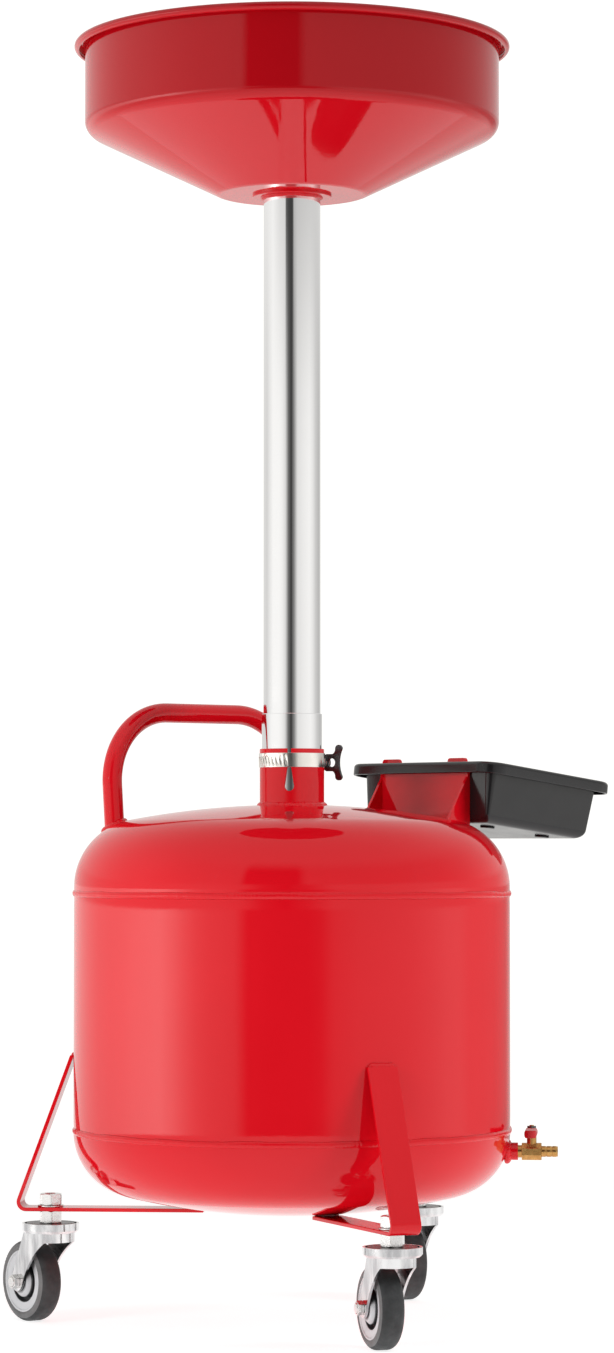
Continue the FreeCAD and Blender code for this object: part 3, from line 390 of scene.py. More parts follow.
def core_plastic():
    """Grey moulded plastic of the wheel cores, with painted shade: an ambient-occlusion mask darkens the recess
    round the hub.
    """
    shader = Shader("grey_plastic", (0.62, 0.63, 0.65), Specular_IOR_Level=0.45)
    # Painted shade: the base colour goes near black where ambient occlusion finds the recess round the hub,
    # varied at random by a mottle
    open_sky = shader.tree.nodes.new("ShaderNodeAmbientOcclusion")
    open_sky.inputs["Distance"].default_value = 0.009
    mottle = shader.ranged(shader.noise(120, 4), 0, 1, 0.85, 1.15)
    openness = math_node(shader.tree, "MULTIPLY", open_sky.outputs["AO"], mottle)
    unshaded_share = shader.ranged(openness, 0.45, 0.95, 0, 1)
    shader.drive("Base Color", shader.mixed(unshaded_share, (0.03, 0.03, 0.032), (0.66, 0.67, 0.69)))
    shader.drive("Roughness", shader.ranged(shader.noise(90, 4), 0.3, 0.7, 0.3, 0.45))
    shader.bump(shader.noise(1400, 2), 0.00001)
    return shader.material


def dark_steel():
    """Black-oxide die casting: dark grey, half gloss, with rubbed lighter patches."""
    shader = Shader("dark_steel", (0.06, 0.062, 0.066), metallic=0.85)
    rubbed = shader.mixed(shader.noise(300, 5), (0.05, 0.052, 0.056), (0.16, 0.162, 0.17))
    shader.drive("Base Color", rubbed)
    shader.drive("Roughness", shader.ranged(shader.noise(500, 4), 0.3, 0.7, 0.24, 0.42))
    shader.bump(shader.noise(700, 3), 0.00004)
    return shader.material


def pale_floor():
    """Pale lit paper, as a light table: it also throws light up on the undersides."""
    shader = Shader("studio_floor", (0.58, 0.58, 0.58), roughness=0.9, Specular_IOR_Level=0.0)
    shader.drive("Base Color", shader.mixed(shader.noise(1.5, 2), (0.55, 0.55, 0.55), (0.6, 0.6, 0.6)))
    shader.set("Emission Color", (1.0, 1.0, 1.0, 1.0))
    shader.set("Emission Strength", 0.77)
    return shader.material


FLOOR = pale_floor()
MATERIALS = {
    "red_paint": red_paint(),
    "chrome": chrome(),
    "fork_chrome": fork_chrome(),
    "zinc_steel": metal("zinc_steel", (0.8, 0.79, 0.78), 0.12, 0.26, 500, 0.00003),
    "bright_steel": metal("bright_steel", (0.72, 0.72, 0.73), 0.18, 0.34, 600, 0.00002),
    "stainless": metal("stainless", (0.98, 0.94, 0.88), 0.08, 0.18, 900, 0.000006, scale=(1, 1, 6)),
    "dark_steel": dark_steel(),
    "black_plastic": black_plastic(),
    "red_vinyl": plastic("red_vinyl", (0.55, 0.012, 0.02), 0.25, 0.4),
    "tyre_rubber": rubber("tyre_rubber", (0.032, 0.034, 0.035), (0.066, 0.069, 0.071)),
    "tyre_side": rubber("tyre_side", (0.14, 0.14, 0.142), (0.22, 0.22, 0.222)),
    "grey_plastic": core_plastic(),
    "nylon": plastic("nylon", (0.8, 0.79, 0.74), 0.35, 0.5),
    "ptfe": plastic("ptfe", (0.9, 0.9, 0.88), 0.4, 0.55),
    "brass": brass(),
}
SLOT_OF = {part["node"]: part["material_slot"] for part in frame["record"]["subparts"]}
BODY_OF = {node: body for body, nodes in frame["record"]["behaviour"]["bodies"].items() for node in nodes}


# Mesh helpers. They work in millimetres in a local frame, and place is the matrix from there to the frame.

UP = Vector((0, 0, 1))
SCALE = Matrix.Diagonal((MM, MM, MM, 1))


def upright(spot, azimuth=0.0):
    return Matrix.Translation(flat(spot)) @ Matrix.Rotation(azimuth, 4, "Z") @ SCALE


TANK = upright(AXIS)


def skin(name, rings, place, wrap=False, sharp=None):
    """Faces between closed rings of equal counts of points. sharp, in degrees, keeps edges over that angle."""
    count = len(rings[0])
    verts = [place @ Vector(p) for ring in rings for p in ring]
    faces = []
    for k in range(len(rings) if wrap else len(rings) - 1):
        here = k * count
        there = ((k + 1) % len(rings)) * count
        for i in range(count):
            j = (i + 1) % count
            faces.append((here + i, here + j, there + j, there + i))
    if not wrap:
        faces.append(tuple(reversed(range(count))))
        faces.append(tuple(range((len(rings) - 1) * count, len(rings) * count)))
    mesh = bpy.data.meshes.new(name)
    mesh.from_pydata([tuple(v) for v in verts], [], faces)
    piece = bpy.data.objects.new(name, mesh)
    bpy.context.scene.collection.objects.link(piece)
    clean(piece)
    smooth(piece, sharp)
    return piece


def clean(piece):
    """Merges doubled points, such as those on an axis, and turns all faces outwards."""
    bm = bmesh.new()
    bm.from_mesh(piece.data)
    bmesh.ops.remove_doubles(bm, verts=bm.verts, dist=1e-6)
    bmesh.ops.dissolve_degenerate(bm, edges=bm.edges, dist=1e-7)
    loose = [edge for edge in bm.edges if not edge.link_faces]
    bmesh.ops.delete(bm, geom=loose, context="EDGES")
    bmesh.ops.recalc_face_normals(bm, faces=bm.faces)
    bm.to_mesh(piece.data)
    bm.free()


def smooth(piece, sharp=None):
    """Smooth shading led by large faces, so that a narrow rounding doesn't bend its neighbours' shading."""
    piece.data.shade_smooth()
    if sharp:
        piece.data.set_sharp_from_angle(angle=math.radians(sharp))
    weighted = piece.modifiers.new("shade", "WEIGHTED_NORMAL")
    weighted.keep_sharp = True
    bake_modifiers(piece)


def bake_modifiers(piece):
    graph = bpy.context.evaluated_depsgraph_get()
    graph.update()
    mesh = bpy.data.meshes.new_from_object(piece.evaluated_get(graph))
    piece.modifiers.clear()
    piece.data = mesh


def joined(name, pieces):
    """Joins loose pieces into one object."""
    bm = bmesh.new()
    for piece in pieces:
        bm.from_mesh(piece.data)
        bpy.data.objects.remove(piece)
    mesh = bpy.data.meshes.new(name)
    bm.to_mesh(mesh)
    bm.free()
    result = bpy.data.objects.new(name, mesh)
    bpy.context.scene.collection.objects.link(result)
    return result


def dress(piece, node, material=None):
    """Gives a piece the finish of the CAD node it stands for, and puts it on that node's body."""
    slot_name = SLOT_OF[node]
    piece.data.materials.clear()
    piece.data.materials.append(MATERIALS[material or slot_name])
    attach(piece, BODY_OF[node])
    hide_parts(node)


def arc(cx, cz, r, start, end, steps=10):
    """Points of an arc, in degrees, both ends included."""
    angles = [math.radians(start + (end - start) * i / steps) for i in range(steps + 1)]
    return [(cx + r * math.cos(a), cz + r * math.sin(a)) for a in angles]


def rounded(corners, steps=5, closed=True):
    """Rounds the corners of a polyline. A corner is (x, z) or (x, z, radius), which shrinks on short edges."""
    points = [Vector(c[:2]) for c in corners]
    count = len(points)
    result = []
    for i, here in enumerate(points):
        radius = corners[i][2] if len(corners[i]) > 2 else 0
        if not radius or (not closed and i in (0, count - 1)):
            result.append(tuple(here))
            continue
        before = points[i - 1] - here
        after = points[(i + 1) % count] - here
        half = before.angle(after) / 2
        if half > math.radians(89):
            result.append(tuple(here))
            continue
        reach = min(radius / math.tan(half), before.length * 0.49, after.length * 0.49)
        r = reach * math.tan(half)
        centre = here + (before.normalized() + after.normalized()).normalized() * (r / math.sin(half))
        start = here + before.normalized() * reach - centre
        end = here + after.normalized() * reach - centre
        span = start.angle(end)
        for k in range(steps + 1):
            t = k / steps
            spoke = (start * math.sin((1 - t) * span) + end * math.sin(t * span)) / math.sin(span)
            result.append(tuple(centre + spoke))
    return result


def lathe(name, profile, place, segments=SEGMENTS, sharp=None):
    """Turns a closed profile of (radius, height) round the local Z axis."""
    rings = []
    for k in range(segments):
        a = 2 * math.pi * k / segments
        rings.append([(r * math.cos(a), r * math.sin(a), z) for r, z in profile])
    return skin(name, rings, place, wrap=True, sharp=sharp)


def sweep(name, path, outs, outline, place, closed=False, sharp=None):
    """Carries an outline along a path. outline(k) gives (sideways, outward) points; outs[k] points outwards."""
    rings = []
    count = len(path)
    for k, here in enumerate(path):
        before = path[k - 1] if closed or k else here
        after = path[(k + 1) % count] if closed or k < count - 1 else here
        along = (after - before).normalized()
        out = (outs[k] - along * outs[k].dot(along)).normalized()
        side = along.cross(out)
        rings.append([here + side * s + out * o for s, o in outline(k)])
    return skin(name, rings, place, wrap=closed, sharp=sharp)


BEAD_RIPPLE = 2.4                    # from ripple to ripple


def bead(name, path, outs, half_width, height, place, seed, closed=False, step=0.8):
    """A weld bead laid by hand: overlapping ripples, an uneven width, and rounded ends."""
    sides = 14
    count = len(path)

    def outline(k):
        drift = noise.noise(Vector((k * step * 0.09, seed * 7.31, 0.5)))
        lump = noise.noise(Vector((k * step * 0.4, seed * 3.7, 5.5)))
        taper = 1.0
        if not closed:
            edge = min(k, count - 1 - k) * step / (half_width * 1.2)
            taper = math.sqrt(max(0.03, 1 - max(0.0, 1 - edge) ** 2))
        points = []
        for i in range(sides):
            a = 2 * math.pi * i / sides
            across = math.cos(a)
            ripple = math.sin(2 * math.pi * (k * step / BEAD_RIPPLE + 0.45 * across * across))
            swell = 1 + 0.11 * ripple + 0.35 * drift + 0.22 * lump
            wide = half_width * (1 + 0.3 * drift + 0.06 * ripple)
            points.append((across * wide * taper, math.sin(a) * height * swell * taper))
        return points
    return sweep(name, path, outs, outline, place, closed)


def ring_path(r, z, step=0.8):
    count = int(2 * math.pi * r / step)
    angles = [2 * math.pi * k / count for k in range(count)]
    return [Vector((r * math.cos(a), r * math.sin(a), z)) for a in angles]


def straight_path(start, end, step=0.8):
    count = max(4, int((end - start).length / step))
    return [start.lerp(end, k / count) for k in range(count + 1)]


def hex_nut(name, flats, low_z, high_z, bore, place, chamfer_bottom=True):
    """A hexagon with its corners turned off at 30 degrees, and a countersunk hole."""
    rings = []
    segments = 96
    turn_off = flats * 0.475
    for k in range(segments):
        a = 2 * math.pi * k / segments
        local = (a + math.pi / 6) % (math.pi / 3) - math.pi / 6
        r = min(flats / 2 / math.cos(local), flats / math.sqrt(3) * 0.985)
        drop = (r - turn_off) * math.tan(math.radians(30))
        low_edge = low_z + (drop if chamfer_bottom else 0)
        sink = min(0.5, bore * 0.2)
        profile = [(bore, low_z), (turn_off, low_z), (r, low_edge), (r, high_z - drop), (turn_off, high_z),
                   (bore + sink, high_z), (bore, high_z - sink)]
        rings.append([(pr * math.cos(a), pr * math.sin(a), z) for pr, z in profile])
    return skin(name, rings, place, wrap=True, sharp=24)


def softened(node, width, segments=3, material=None):
    """A copy of a CAD node with its sharp edges rounded, standing for the node."""
    source = frame["nodes"][node]
    mesh = bpy.data.meshes.new(node + "_finished")
    bm = bmesh.new()
    bm.from_mesh(source.data)
    bmesh.ops.remove_doubles(bm, verts=bm.verts, dist=2e-6)
    bmesh.ops.dissolve_limit(bm, angle_limit=math.radians(0.5), verts=bm.verts, edges=bm.edges)
    bm.to_mesh(mesh)
    bm.free()
    piece = bpy.data.objects.new(node + "_finished", mesh)
    bpy.context.scene.collection.objects.link(piece)
    bevel = piece.modifiers.new("round", "BEVEL")
    bevel.width = width * MM
    bevel.segments = segments
    bevel.limit_method = "ANGLE"
    bevel.angle_limit = math.radians(30)
    bake_modifiers(piece)
    smooth(piece, 40)
    dress(piece, node, material)


def cut(piece, cutters):
    """Cuts closed pieces that are clear of each other out of a piece."""
    cutter = joined(piece.name + "_cutter", cutters)
    boolean = piece.modifiers.new("cut", "BOOLEAN")
    boolean.operation = "DIFFERENCE"
    boolean.solver = "EXACT"
    boolean.object = cutter
    bake_modifiers(piece)
    bpy.data.objects.remove(cutter)


def box_piece(name, x, y, z, place):
    rings = [[(x[0], y[0], h), (x[1], y[0], h), (x[1], y[1], h), (x[0], y[1], h)] for h in z]
    return skin(name, rings, place, sharp=30)


# Sizes taken off the frame, in millimetres

def radius(node):
    return (high(node).x - low(node).x) / 2 / MM


def radius_across(node):
    return (high(node).y - low(node).y) / 2 / MM


def bottom(node):
    return low(node).z / MM


def top(node):
    return high(node).z / MM


RUN = 0.05                           # clearance of a running fit, on the radius
TUBE_WALL = 1.2


# Tank

TANK_R = radius("tank_shell")
SEAM_LOW = bottom("tank_shell")
SEAM_HIGH = top("tank_shell")
WALL = 1.6
COLLAR_R = radius("neck_collar")
WELD_PULL = 0.3                      # how far the shell draws in beside a seam
WELD_PULL_REACH = 14.0
SEAM_HALF = 2.7                      # half the width of a seam's bead
SEAM_RISE = 1.0
SEAM_RIPPLE = 2.9                    # from ripple to ripple


class Head:
    """A dished head: heights are above the middle of its knuckle."""

    def __init__(self, flange, knuckle, rise):
        self.flange = flange
        self.knuckle = knuckle
        self.out = TANK_R - knuckle
        self.drop = (self.out ** 2 - (rise - knuckle) ** 2) / (2 * (rise - knuckle))
        self.crown = rise + self.drop

    def height(self, r):
        if r < self.out * self.crown / (self.crown - self.knuckle):
            return math.sqrt(self.crown ** 2 - r * r) - self.drop
        return math.sqrt(self.knuckle ** 2 - (r - self.out) ** 2)

    def surface(self, inset, hole_r, steps=40):
        """From the flange's edge to the hole, inset from the outer face."""
        end = math.degrees(math.atan2(self.drop, self.out))
        outline = [(TANK_R - inset, -self.flange)]
        outline += arc(self.out, 0, self.knuckle - inset, 0, end, 30)
        start = outline[-1][0]
        for i in range(1, steps + 1):
            r = start + (hole_r - start) * i / steps
            outline.append((r, math.sqrt((self.crown - inset) ** 2 - r * r) - self.drop))
        return outline

    def sheet(self, hole_r):
        return self.surface(0, hole_r) + list(reversed(self.surface(WALL, hole_r)))


UPPER = Head(5.0, 55.0, 66.3)
LOWER = Head(1.0, 51.5, 66.0)
UPPER_Z = SEAM_HIGH + UPPER.flange
LOWER_Z = SEAM_LOW - LOWER.flange


def dome_z(r):
    return UPPER_Z + UPPER.height(r)


def seam(z, seed):
    """A wide flat bead round the tank, with ripples like scales and a lump where the run starts and stops."""
    steps = 1500
    across = 10
    rings = []
    lump_at = steps * (0.13 + 0.31 * seed)
    for k in range(steps):
        a = 2 * math.pi * k / steps
        drift = noise.noise(Vector((math.cos(a) * 6, math.sin(a) * 6, seed * 3.3)))
        lump = noise.noise(Vector((math.cos(a) * 32, math.sin(a) * 32, seed * 9.1)))
        start = math.exp(-((k - lump_at) / 6.0) ** 2)
        half = SEAM_HALF * (1 + 0.16 * drift + 0.1 * lump + 0.25 * start)
        rise = SEAM_RISE * (1 + 0.2 * drift + 0.18 * lump + 0.45 * start)
        centre = z + 0.5 * drift
        ring = []
        for i in range(across + 1):
            v = -1 + 2 * i / across
            ripple = math.sin(2 * math.pi * (a * TANK_R / SEAM_RIPPLE + 0.5 * v * v))
            r = TANK_R - WELD_PULL + (WELD_PULL + rise * (1 + 0.1 * ripple)) * (1 - v * v) ** 0.75
            ring.append((r * math.cos(a), r * math.sin(a), centre + v * half))
        ring.append(((TANK_R - WALL) * math.cos(a), (TANK_R - WALL) * math.sin(a), z))
        rings.append(ring)
    return skin("seam_weld_%d" % seed, rings, TANK, wrap=True)


def build_tank():
    shell = []
    steps = 10
    for i in range(steps + 1):
        d = WELD_PULL_REACH * i / steps
        shell.append((TANK_R - WELD_PULL * (1 - d / WELD_PULL_REACH) ** 2, SEAM_LOW + d))
    shell += [(r, SEAM_LOW + SEAM_HIGH - z) for r, z in reversed(shell)]
    shell += [(TANK_R - WALL, SEAM_HIGH), (TANK_R - WALL, SEAM_LOW)]
    dress(lathe("tank_shell_rolled", shell, TANK), "tank_shell")

    upper = [(r, UPPER_Z + z) for r, z in UPPER.sheet(COLLAR_R - 0.2)]
    dress(lathe("tank_top_head_pressed", upper, TANK), "tank_top_head")
    lower = [(r, LOWER_Z - z) for r, z in LOWER.sheet(0.0)]
    dress(lathe("tank_bottom_head_pressed", lower, TANK), "tank_bottom_head")
    dress(joined("seam_weld_beads", [seam(SEAM_LOW, 0), seam(SEAM_HIGH, 1)]), "seam_welds")


# Neck

SLIT_AZIMUTH = math.radians(-90.0)
SLIT_HALF = 1.65
SLIT_HOLE_R = 4.0
SLIT_HOLE_Z = 432.0


def build_neck():
    bore = radius("outer_mast_tube") + RUN
    low_z = bottom("neck_collar")
    high_z = top("neck_collar")
    profile = rounded([(bore, low_z), (COLLAR_R, low_z), (COLLAR_R, high_z, 0.6), (bore, high_z, 0.4)])
    collar = lathe("neck_collar_turned", profile, TANK, sharp=35)
    slit = upright(AXIS, SLIT_AZIMUTH)
    saw = box_piece("saw", (15, 30), (-SLIT_HALF, SLIT_HALF), (SLIT_HOLE_Z, high_z + 2), slit)
    turn = slit @ Matrix.Translation((0, 0, SLIT_HOLE_Z)) @ Matrix.Rotation(math.pi / 2, 4, "Y")
    drop = [(-z, y) for y, z in arc(0, 0, SLIT_HOLE_R, 160, 380, 40) + [(SLIT_HALF, 15), (-SLIT_HALF, 15)]]
    drill = skin("drill", [[(x, y, h) for x, y in drop] for h in (15, 30)], turn, sharp=30)
    cut(collar, [drill])
    cut(collar, [saw])
    smooth(collar, 35)
    dress(collar, "neck_collar")


# Mast

def build_mast():
    r = radius("outer_mast_tube")
    bore = radius("inner_mast_tube") + RUN
    low_z, high_z = bottom("outer_mast_tube"), top("outer_mast_tube")
    profile = rounded([(bore, low_z, 0.2), (r, low_z, 0.4), (r, high_z, 0.55), (bore, high_z, 0.25)])
    dress(lathe("outer_mast_tube_drawn", profile, TANK, sharp=60), "outer_mast_tube")
    r = radius("inner_mast_tube")
    low_z, high_z = bottom("inner_mast_tube"), top("inner_mast_tube")
    bore = r - TUBE_WALL
    profile = rounded([(bore, low_z, 0.2), (r, low_z, 0.4), (r, high_z), (bore, high_z)])
    dress(lathe("inner_mast_tube_drawn", profile, TANK, sharp=60), "inner_mast_tube")


# Bowl: one spun sheet with a rolled rim

BOWL_LOW = bottom("bowl_shell")
BOWL_TOP = top("bowl_shell")
CURL_R = 2.6
CURL_FLAT = 3.4
SHEET = 1.2
CURL_Z = BOWL_TOP - CURL_R - SHEET / 2
BOWL_WALL_R = radius("bowl_shell") - 2 * CURL_R - CURL_FLAT
FLAT_R = 60.0
HEEL_R = 10.0
KNEE_Z = 962.0
KNEE_R = 11.0
CURL_END = -100.0


def build_bowl():
    bore = radius("inner_mast_tube") - TUBE_WALL
    slope = math.atan2(KNEE_Z - BOWL_LOW, BOWL_WALL_R - FLAT_R)
    shift = SHEET * math.tan(slope / 2)
    knee_shift = SHEET * math.tan((math.pi / 2 - slope) / 2)
    outer = rounded([(bore, BOWL_LOW), (FLAT_R, BOWL_LOW, HEEL_R + SHEET), (BOWL_WALL_R, KNEE_Z, KNEE_R),
                     (BOWL_WALL_R, CURL_Z)], steps=12, closed=False)
    inner = rounded([(bore, BOWL_LOW + SHEET), (FLAT_R - shift, BOWL_LOW + SHEET, HEEL_R),
                     (BOWL_WALL_R - SHEET, KNEE_Z + knee_shift, KNEE_R - SHEET), (BOWL_WALL_R - SHEET, CURL_Z)],
                    steps=12, closed=False)
    middle_r = BOWL_WALL_R - SHEET / 2 + CURL_R
    lip_r = middle_r + CURL_FLAT
    near, far = CURL_R - SHEET / 2, CURL_R + SHEET / 2
    inside = arc(middle_r, CURL_Z, near, 180, 90, 12) + arc(lip_r, CURL_Z, near, 90, CURL_END, 22)
    outside = arc(lip_r, CURL_Z, far, CURL_END, 90, 22) + arc(middle_r, CURL_Z, far, 90, 180, 12)
    profile = outer[:-1] + inside + outside + list(reversed(inner[:-1]))
    dress(lathe("bowl_spun", profile, TANK, 384, sharp=60), "bowl_shell")

    r, low_z, high_z = radius("bowl_ring"), bottom("bowl_ring"), top("bowl_ring")
    tube = radius("inner_mast_tube")
    plate = rounded([(tube, low_z), (r, low_z, 0.6), (r, high_z), (tube, high_z)])
    ring = lathe("bowl_ring_plate", plate, TANK, sharp=40)
    path = ring_path(tube + 0.4, low_z - 0.2)
    outs = [p - UP * p.z - UP * tube for p in path]
    weld = bead("bowl_ring_bead", path, outs, 1.9, 1.5, TANK, 9, closed=True)
    dress(joined("bowl_ring_welded", [ring, weld]), "bowl_ring")


# Weld beads of what stands on the tank

HANDLE_FEET = 145.0
HANDLE_SPREAD = math.radians(42.0)
HANDLE_R = 8.0
HANDLE_BEND = 60.0
HANDLE_LEAN = math.radians(5.0)
HANDLE_AZIMUTH = heading(middle("handle_tube") - AXIS)
TRAY_AZIMUTH = heading(middle("tool_tray") - AXIS)
FOOT_IN = 70.0
BRACKET_FACE = 140.7                 # out to the bracket's plate
BRACKET_BEAD_MIDDLE = 37.8
BRACKET_BEAD_HALF = 10


def polar(r, azimuth, z):
    return Vector((r * math.cos(azimuth), r * math.sin(azimuth), z))


def foot_bead(azimuth, seed):
    """A bead round a handle's foot, in the plane of the dome there."""
    foot = polar(HANDLE_FEET, azimuth, dome_z(HANDLE_FEET))
    normal = (foot - polar(UPPER.out, azimuth, UPPER_Z)).normalized()
    lay = Matrix.Translation(foot) @ UP.rotation_difference(normal).to_matrix().to_4x4()
    path = [lay @ p for p in ring_path(HANDLE_R + 1.2, 0.3, step=0.7)]
    outs = [(p - foot).normalized() + normal for p in path]
    return bead("foot_bead_%d" % seed, path, outs, 2.9, 2.0, TANK, seed, closed=True, step=0.7)


def build_welds():
    path = ring_path(COLLAR_R + 0.5, dome_z(COLLAR_R) + 0.4, step=0.7)
    outs = [flat(p).normalized() + UP for p in path]
    beads = [bead("neck_bead", path, outs, 2.5, 1.4, TANK, 2, closed=True, step=0.7)]
    for i, side in enumerate((-1, 1)):
        beads.append(foot_bead(HANDLE_AZIMUTH + side * HANDLE_SPREAD, 11 + i))
    tray = Matrix.Rotation(TRAY_AZIMUTH, 4, "Z")
    for i, side in enumerate((-1, 1)):
        across = [side * BRACKET_BEAD_MIDDLE + s for s in (-BRACKET_BEAD_HALF, BRACKET_BEAD_HALF)]
        ends = [Vector((BRACKET_FACE, y, dome_z(math.hypot(BRACKET_FACE, y)))) for y in across]
        path = [tray @ p for p in straight_path(*ends)]
        outs = [tray @ Vector((-0.6, 0, 1))] * len(path)
        beads.append(bead("bracket_bead_%d" % i, path, outs, 2.6, 2.2, TANK, 21 + i))
    for i, side in enumerate(SIDES):
        azimuth = heading(flat(joint_place("caster_swivel_" + side)) - AXIS)
        turn = Matrix.Rotation(azimuth, 4, "Z")
        z = top("leg_" + side)
        path = [turn @ p for p in straight_path(Vector((TANK_R + 0.4, -11, z)), Vector((TANK_R + 0.4, 11, z)))]
        outs = [turn @ Vector((1, 0, 0.7))] * len(path)
        beads.append(bead("strut_bead_" + side, path, outs, 2.7, 2.0, TANK, 31 + i))
        z = bottom("leg_" + side) + 3.0
        path = [turn @ p for p in straight_path(Vector((FOOT_IN, -10.4, z)), Vector((FOOT_IN, 10.4, z)))]
        outs = [turn @ Vector((-1, 0, 0))] * len(path)
        beads.append(bead("foot_end_bead_" + side, path, outs, 2.3, 2.3, TANK, 41 + i))
    z = middle("drain_boss").z / MM
    spot = Vector((LOWER.out + math.sqrt(LOWER.knuckle ** 2 - (LOWER_Z - z) ** 2) + 0.4, 0, z))
    ring = ring_path(radius_across("drain_boss") + 0.4, 0, step=0.6)
    path = [Vector((spot.x, p.x, spot.z + p.y)) for p in ring]
    outs = [(p - spot).normalized() + Vector((1, 0, 0)) for p in path]
    beads.append(bead("boss_bead", path, outs, 2.7, 2.0, TANK, 51, closed=True, step=0.6))
    dress(joined("attachment_weld_beads", beads), "attachment_welds")


# Handle

def build_handle():
    half = HANDLE_FEET * math.sin(HANDLE_SPREAD)
    out = HANDLE_FEET * math.cos(HANDLE_SPREAD)
    foot_z = dome_z(HANDLE_FEET)
    line_top = top("handle_tube") - HANDLE_R
    rise = (line_top - foot_z) / math.cos(HANDLE_LEAN)
    shoulder = rise - HANDLE_BEND
    line = [(-half, -2.0), *arc(HANDLE_BEND - half, shoulder, HANDLE_BEND, 180, 90, steps=28),
            *arc(half - HANDLE_BEND, shoulder, HANDLE_BEND, 90, 0, steps=28), (half, -2.0)]
    lay = (Matrix.Rotation(HANDLE_AZIMUTH, 4, "Z") @ Matrix.Translation((out, 0, foot_z))
           @ Matrix.Rotation(HANDLE_LEAN, 4, "Y"))
    path = [lay @ Vector((0, y, z)) for y, z in line]
    outs = [(lay.to_3x3() @ Vector((1, 0, 0)))] * len(path)
    turns = [2 * math.pi * i / 48 for i in range(48)]
    circle = [(HANDLE_R * math.cos(a), HANDLE_R * math.sin(a)) for a in turns]
    dress(sweep("handle_tube_bent", path, outs, lambda k: circle, TANK, sharp=60), "handle_tube")


# Tray

TRAY_TILT = math.radians(7.0)
TRAY_LONG = 160.0
TRAY_DEEP = 124.0
TRAY_DEPTH = 48.8
TRAY_CORNER = 8.0
TRAY_BACK = 144.55
LIP_OUT = 10.0
LIP_HEIGHT = 9.5
LIP_THICK = 2.2
TRAY_WALL = 2.4
TRAY_LIP_Z = top("tool_tray") - LIP_OUT * math.sin(TRAY_TILT)
TAB_TOP = top("tray_bracket")
TAB_SLOT_OUT = (141.6, 144.5)
TAB_SLOT_ACROSS = (29.1, 51.9)
PAD_R = 6


def rounded_loop(grow, z):
    """A rounded rectangle, the tray's rim grown outwards by some millimetres."""
    corner = max(TRAY_CORNER + grow, 3.0)
    half_x = TRAY_DEEP / 2 + grow
    half_y = TRAY_LONG / 2 + grow
    loop = []
    for sx, sy, start in ((1, 1, 0), (-1, 1, 90), (-1, -1, 180), (1, -1, 270)):
        loop += arc(sx * (half_x - corner), sy * (half_y - corner), corner, start, start + 90, 14)
    return [(x + TRAY_DEEP / 2, y, z) for x, y in loop]


def build_tray():
    taper = math.tan(TRAY_TILT)
    floor_in = -TRAY_DEPTH + TRAY_WALL
    corners = [(-30, -TRAY_DEPTH), (-TRAY_DEPTH * taper, -TRAY_DEPTH, 8.0),
               (-LIP_THICK * taper, -LIP_THICK, 1.5),
               (LIP_OUT - LIP_THICK, -LIP_THICK, 0.8), (LIP_OUT - LIP_THICK, -LIP_HEIGHT, 0.6),
               (LIP_OUT, -LIP_HEIGHT, 0.9), (LIP_OUT, 0, 2.9), (-TRAY_WALL, 0, 2.2),
               (-TRAY_WALL + floor_in * taper, floor_in, 6.0), (-32, floor_in)]
    profile = rounded(corners, steps=6, closed=False)
    place = (upright(AXIS, TRAY_AZIMUTH) @ Matrix.Translation((TRAY_BACK, 0, TRAY_LIP_Z))
             @ Matrix.Rotation(TRAY_TILT, 4, "Y"))
    tray = skin("tool_tray_moulded", [rounded_loop(*p) for p in profile], place)
    level = upright(AXIS, TRAY_AZIMUTH)
    slots = []
    for side in (-1, 1):
        ends = sorted(side * y for y in TAB_SLOT_ACROSS)
        slots.append(box_piece("tab_slot", TAB_SLOT_OUT, ends, (TAB_TOP - 19, TAB_TOP + 1), level))
    cut(tray, slots)
    pads = []
    for sx in (0.25, 0.75):
        for sy in (-0.3, 0.3):
            spot = place @ Matrix.Translation((sx * TRAY_DEEP, sy * TRAY_LONG, -TRAY_DEPTH - 1.6))
            pad = rounded([(0, 0), (PAD_R, 0, 0.7), (PAD_R, 1.9), (0, 1.9)])
            pads.append(lathe("pad", pad, spot, 48, sharp=40))
    tray = joined("tool_tray_moulded_whole", [tray] + pads)
    smooth(tray, 38)
    dress(tray, "tool_tray")
    softened("tray_bracket", 0.9)


# Casters

WHEEL_R = 32.5
TYRE_HALF = 10.0
SHOULDER_R = 6.2
RIM_R = 25.0
CORE_BORE = 6.05
NUT_FLATS = 17.0
STEM_R = 5.0
PLATE_R = 19.5
THREAD_PITCH = 1.5
AXLE_R = 4.0
AXLE_FLATS = 10.0
AXLE_HEAD_OUT = 14.5                 # from the wheel's middle to the fork's outer faces


def build_wheel(side, wheel):
    """Tyre and core, lathed on the axle."""
    low_shoulder = arc(WHEEL_R - SHOULDER_R, SHOULDER_R - TYRE_HALF, SHOULDER_R, -90, 0)
    high_shoulder = arc(WHEEL_R - SHOULDER_R, TYRE_HALF - SHOULDER_R, SHOULDER_R, 0, 90)
    mould_line = [(WHEEL_R, -0.25), (WHEEL_R - 0.12, 0), (WHEEL_R, 0.25)]
    tread = [(RIM_R, -9.5), *low_shoulder, *mould_line, *high_shoulder, (RIM_R, 9.5)]
    tyre = lathe("tyre_cast_" + side, tread, wheel, 160, sharp=50)
    dress(tyre, "tyre_" + side, "tyre_rubber")
    axle = wheel.to_3x3() @ Vector((0, 0, 1))
    tyre.data.materials.append(MATERIALS["tyre_side"])
    for face in tyre.data.polygons:
        face.material_index = int(abs(face.normal.dot(axle.normalized())) > 0.8)
    side_face = [(CORE_BORE, 11.5, 0.4), (10, 11.5, 0.8), (12.8, 8.6, 0.8), (13.4, 3.2, 0.8), (16.2, 3.2, 0.8),
                 (17, 8.0, 0.6), (23, 8.8, 0.6), (23.6, 9.5, 0.3), (RIM_R, 9.5, 0.3)]
    core = rounded(side_face[::-1] + [(r, -y, blend) for r, y, blend in side_face], steps=5)
    dress(lathe("wheel_core_moulded_" + side, core, wheel, 128, sharp=50), "wheel_core_" + side)


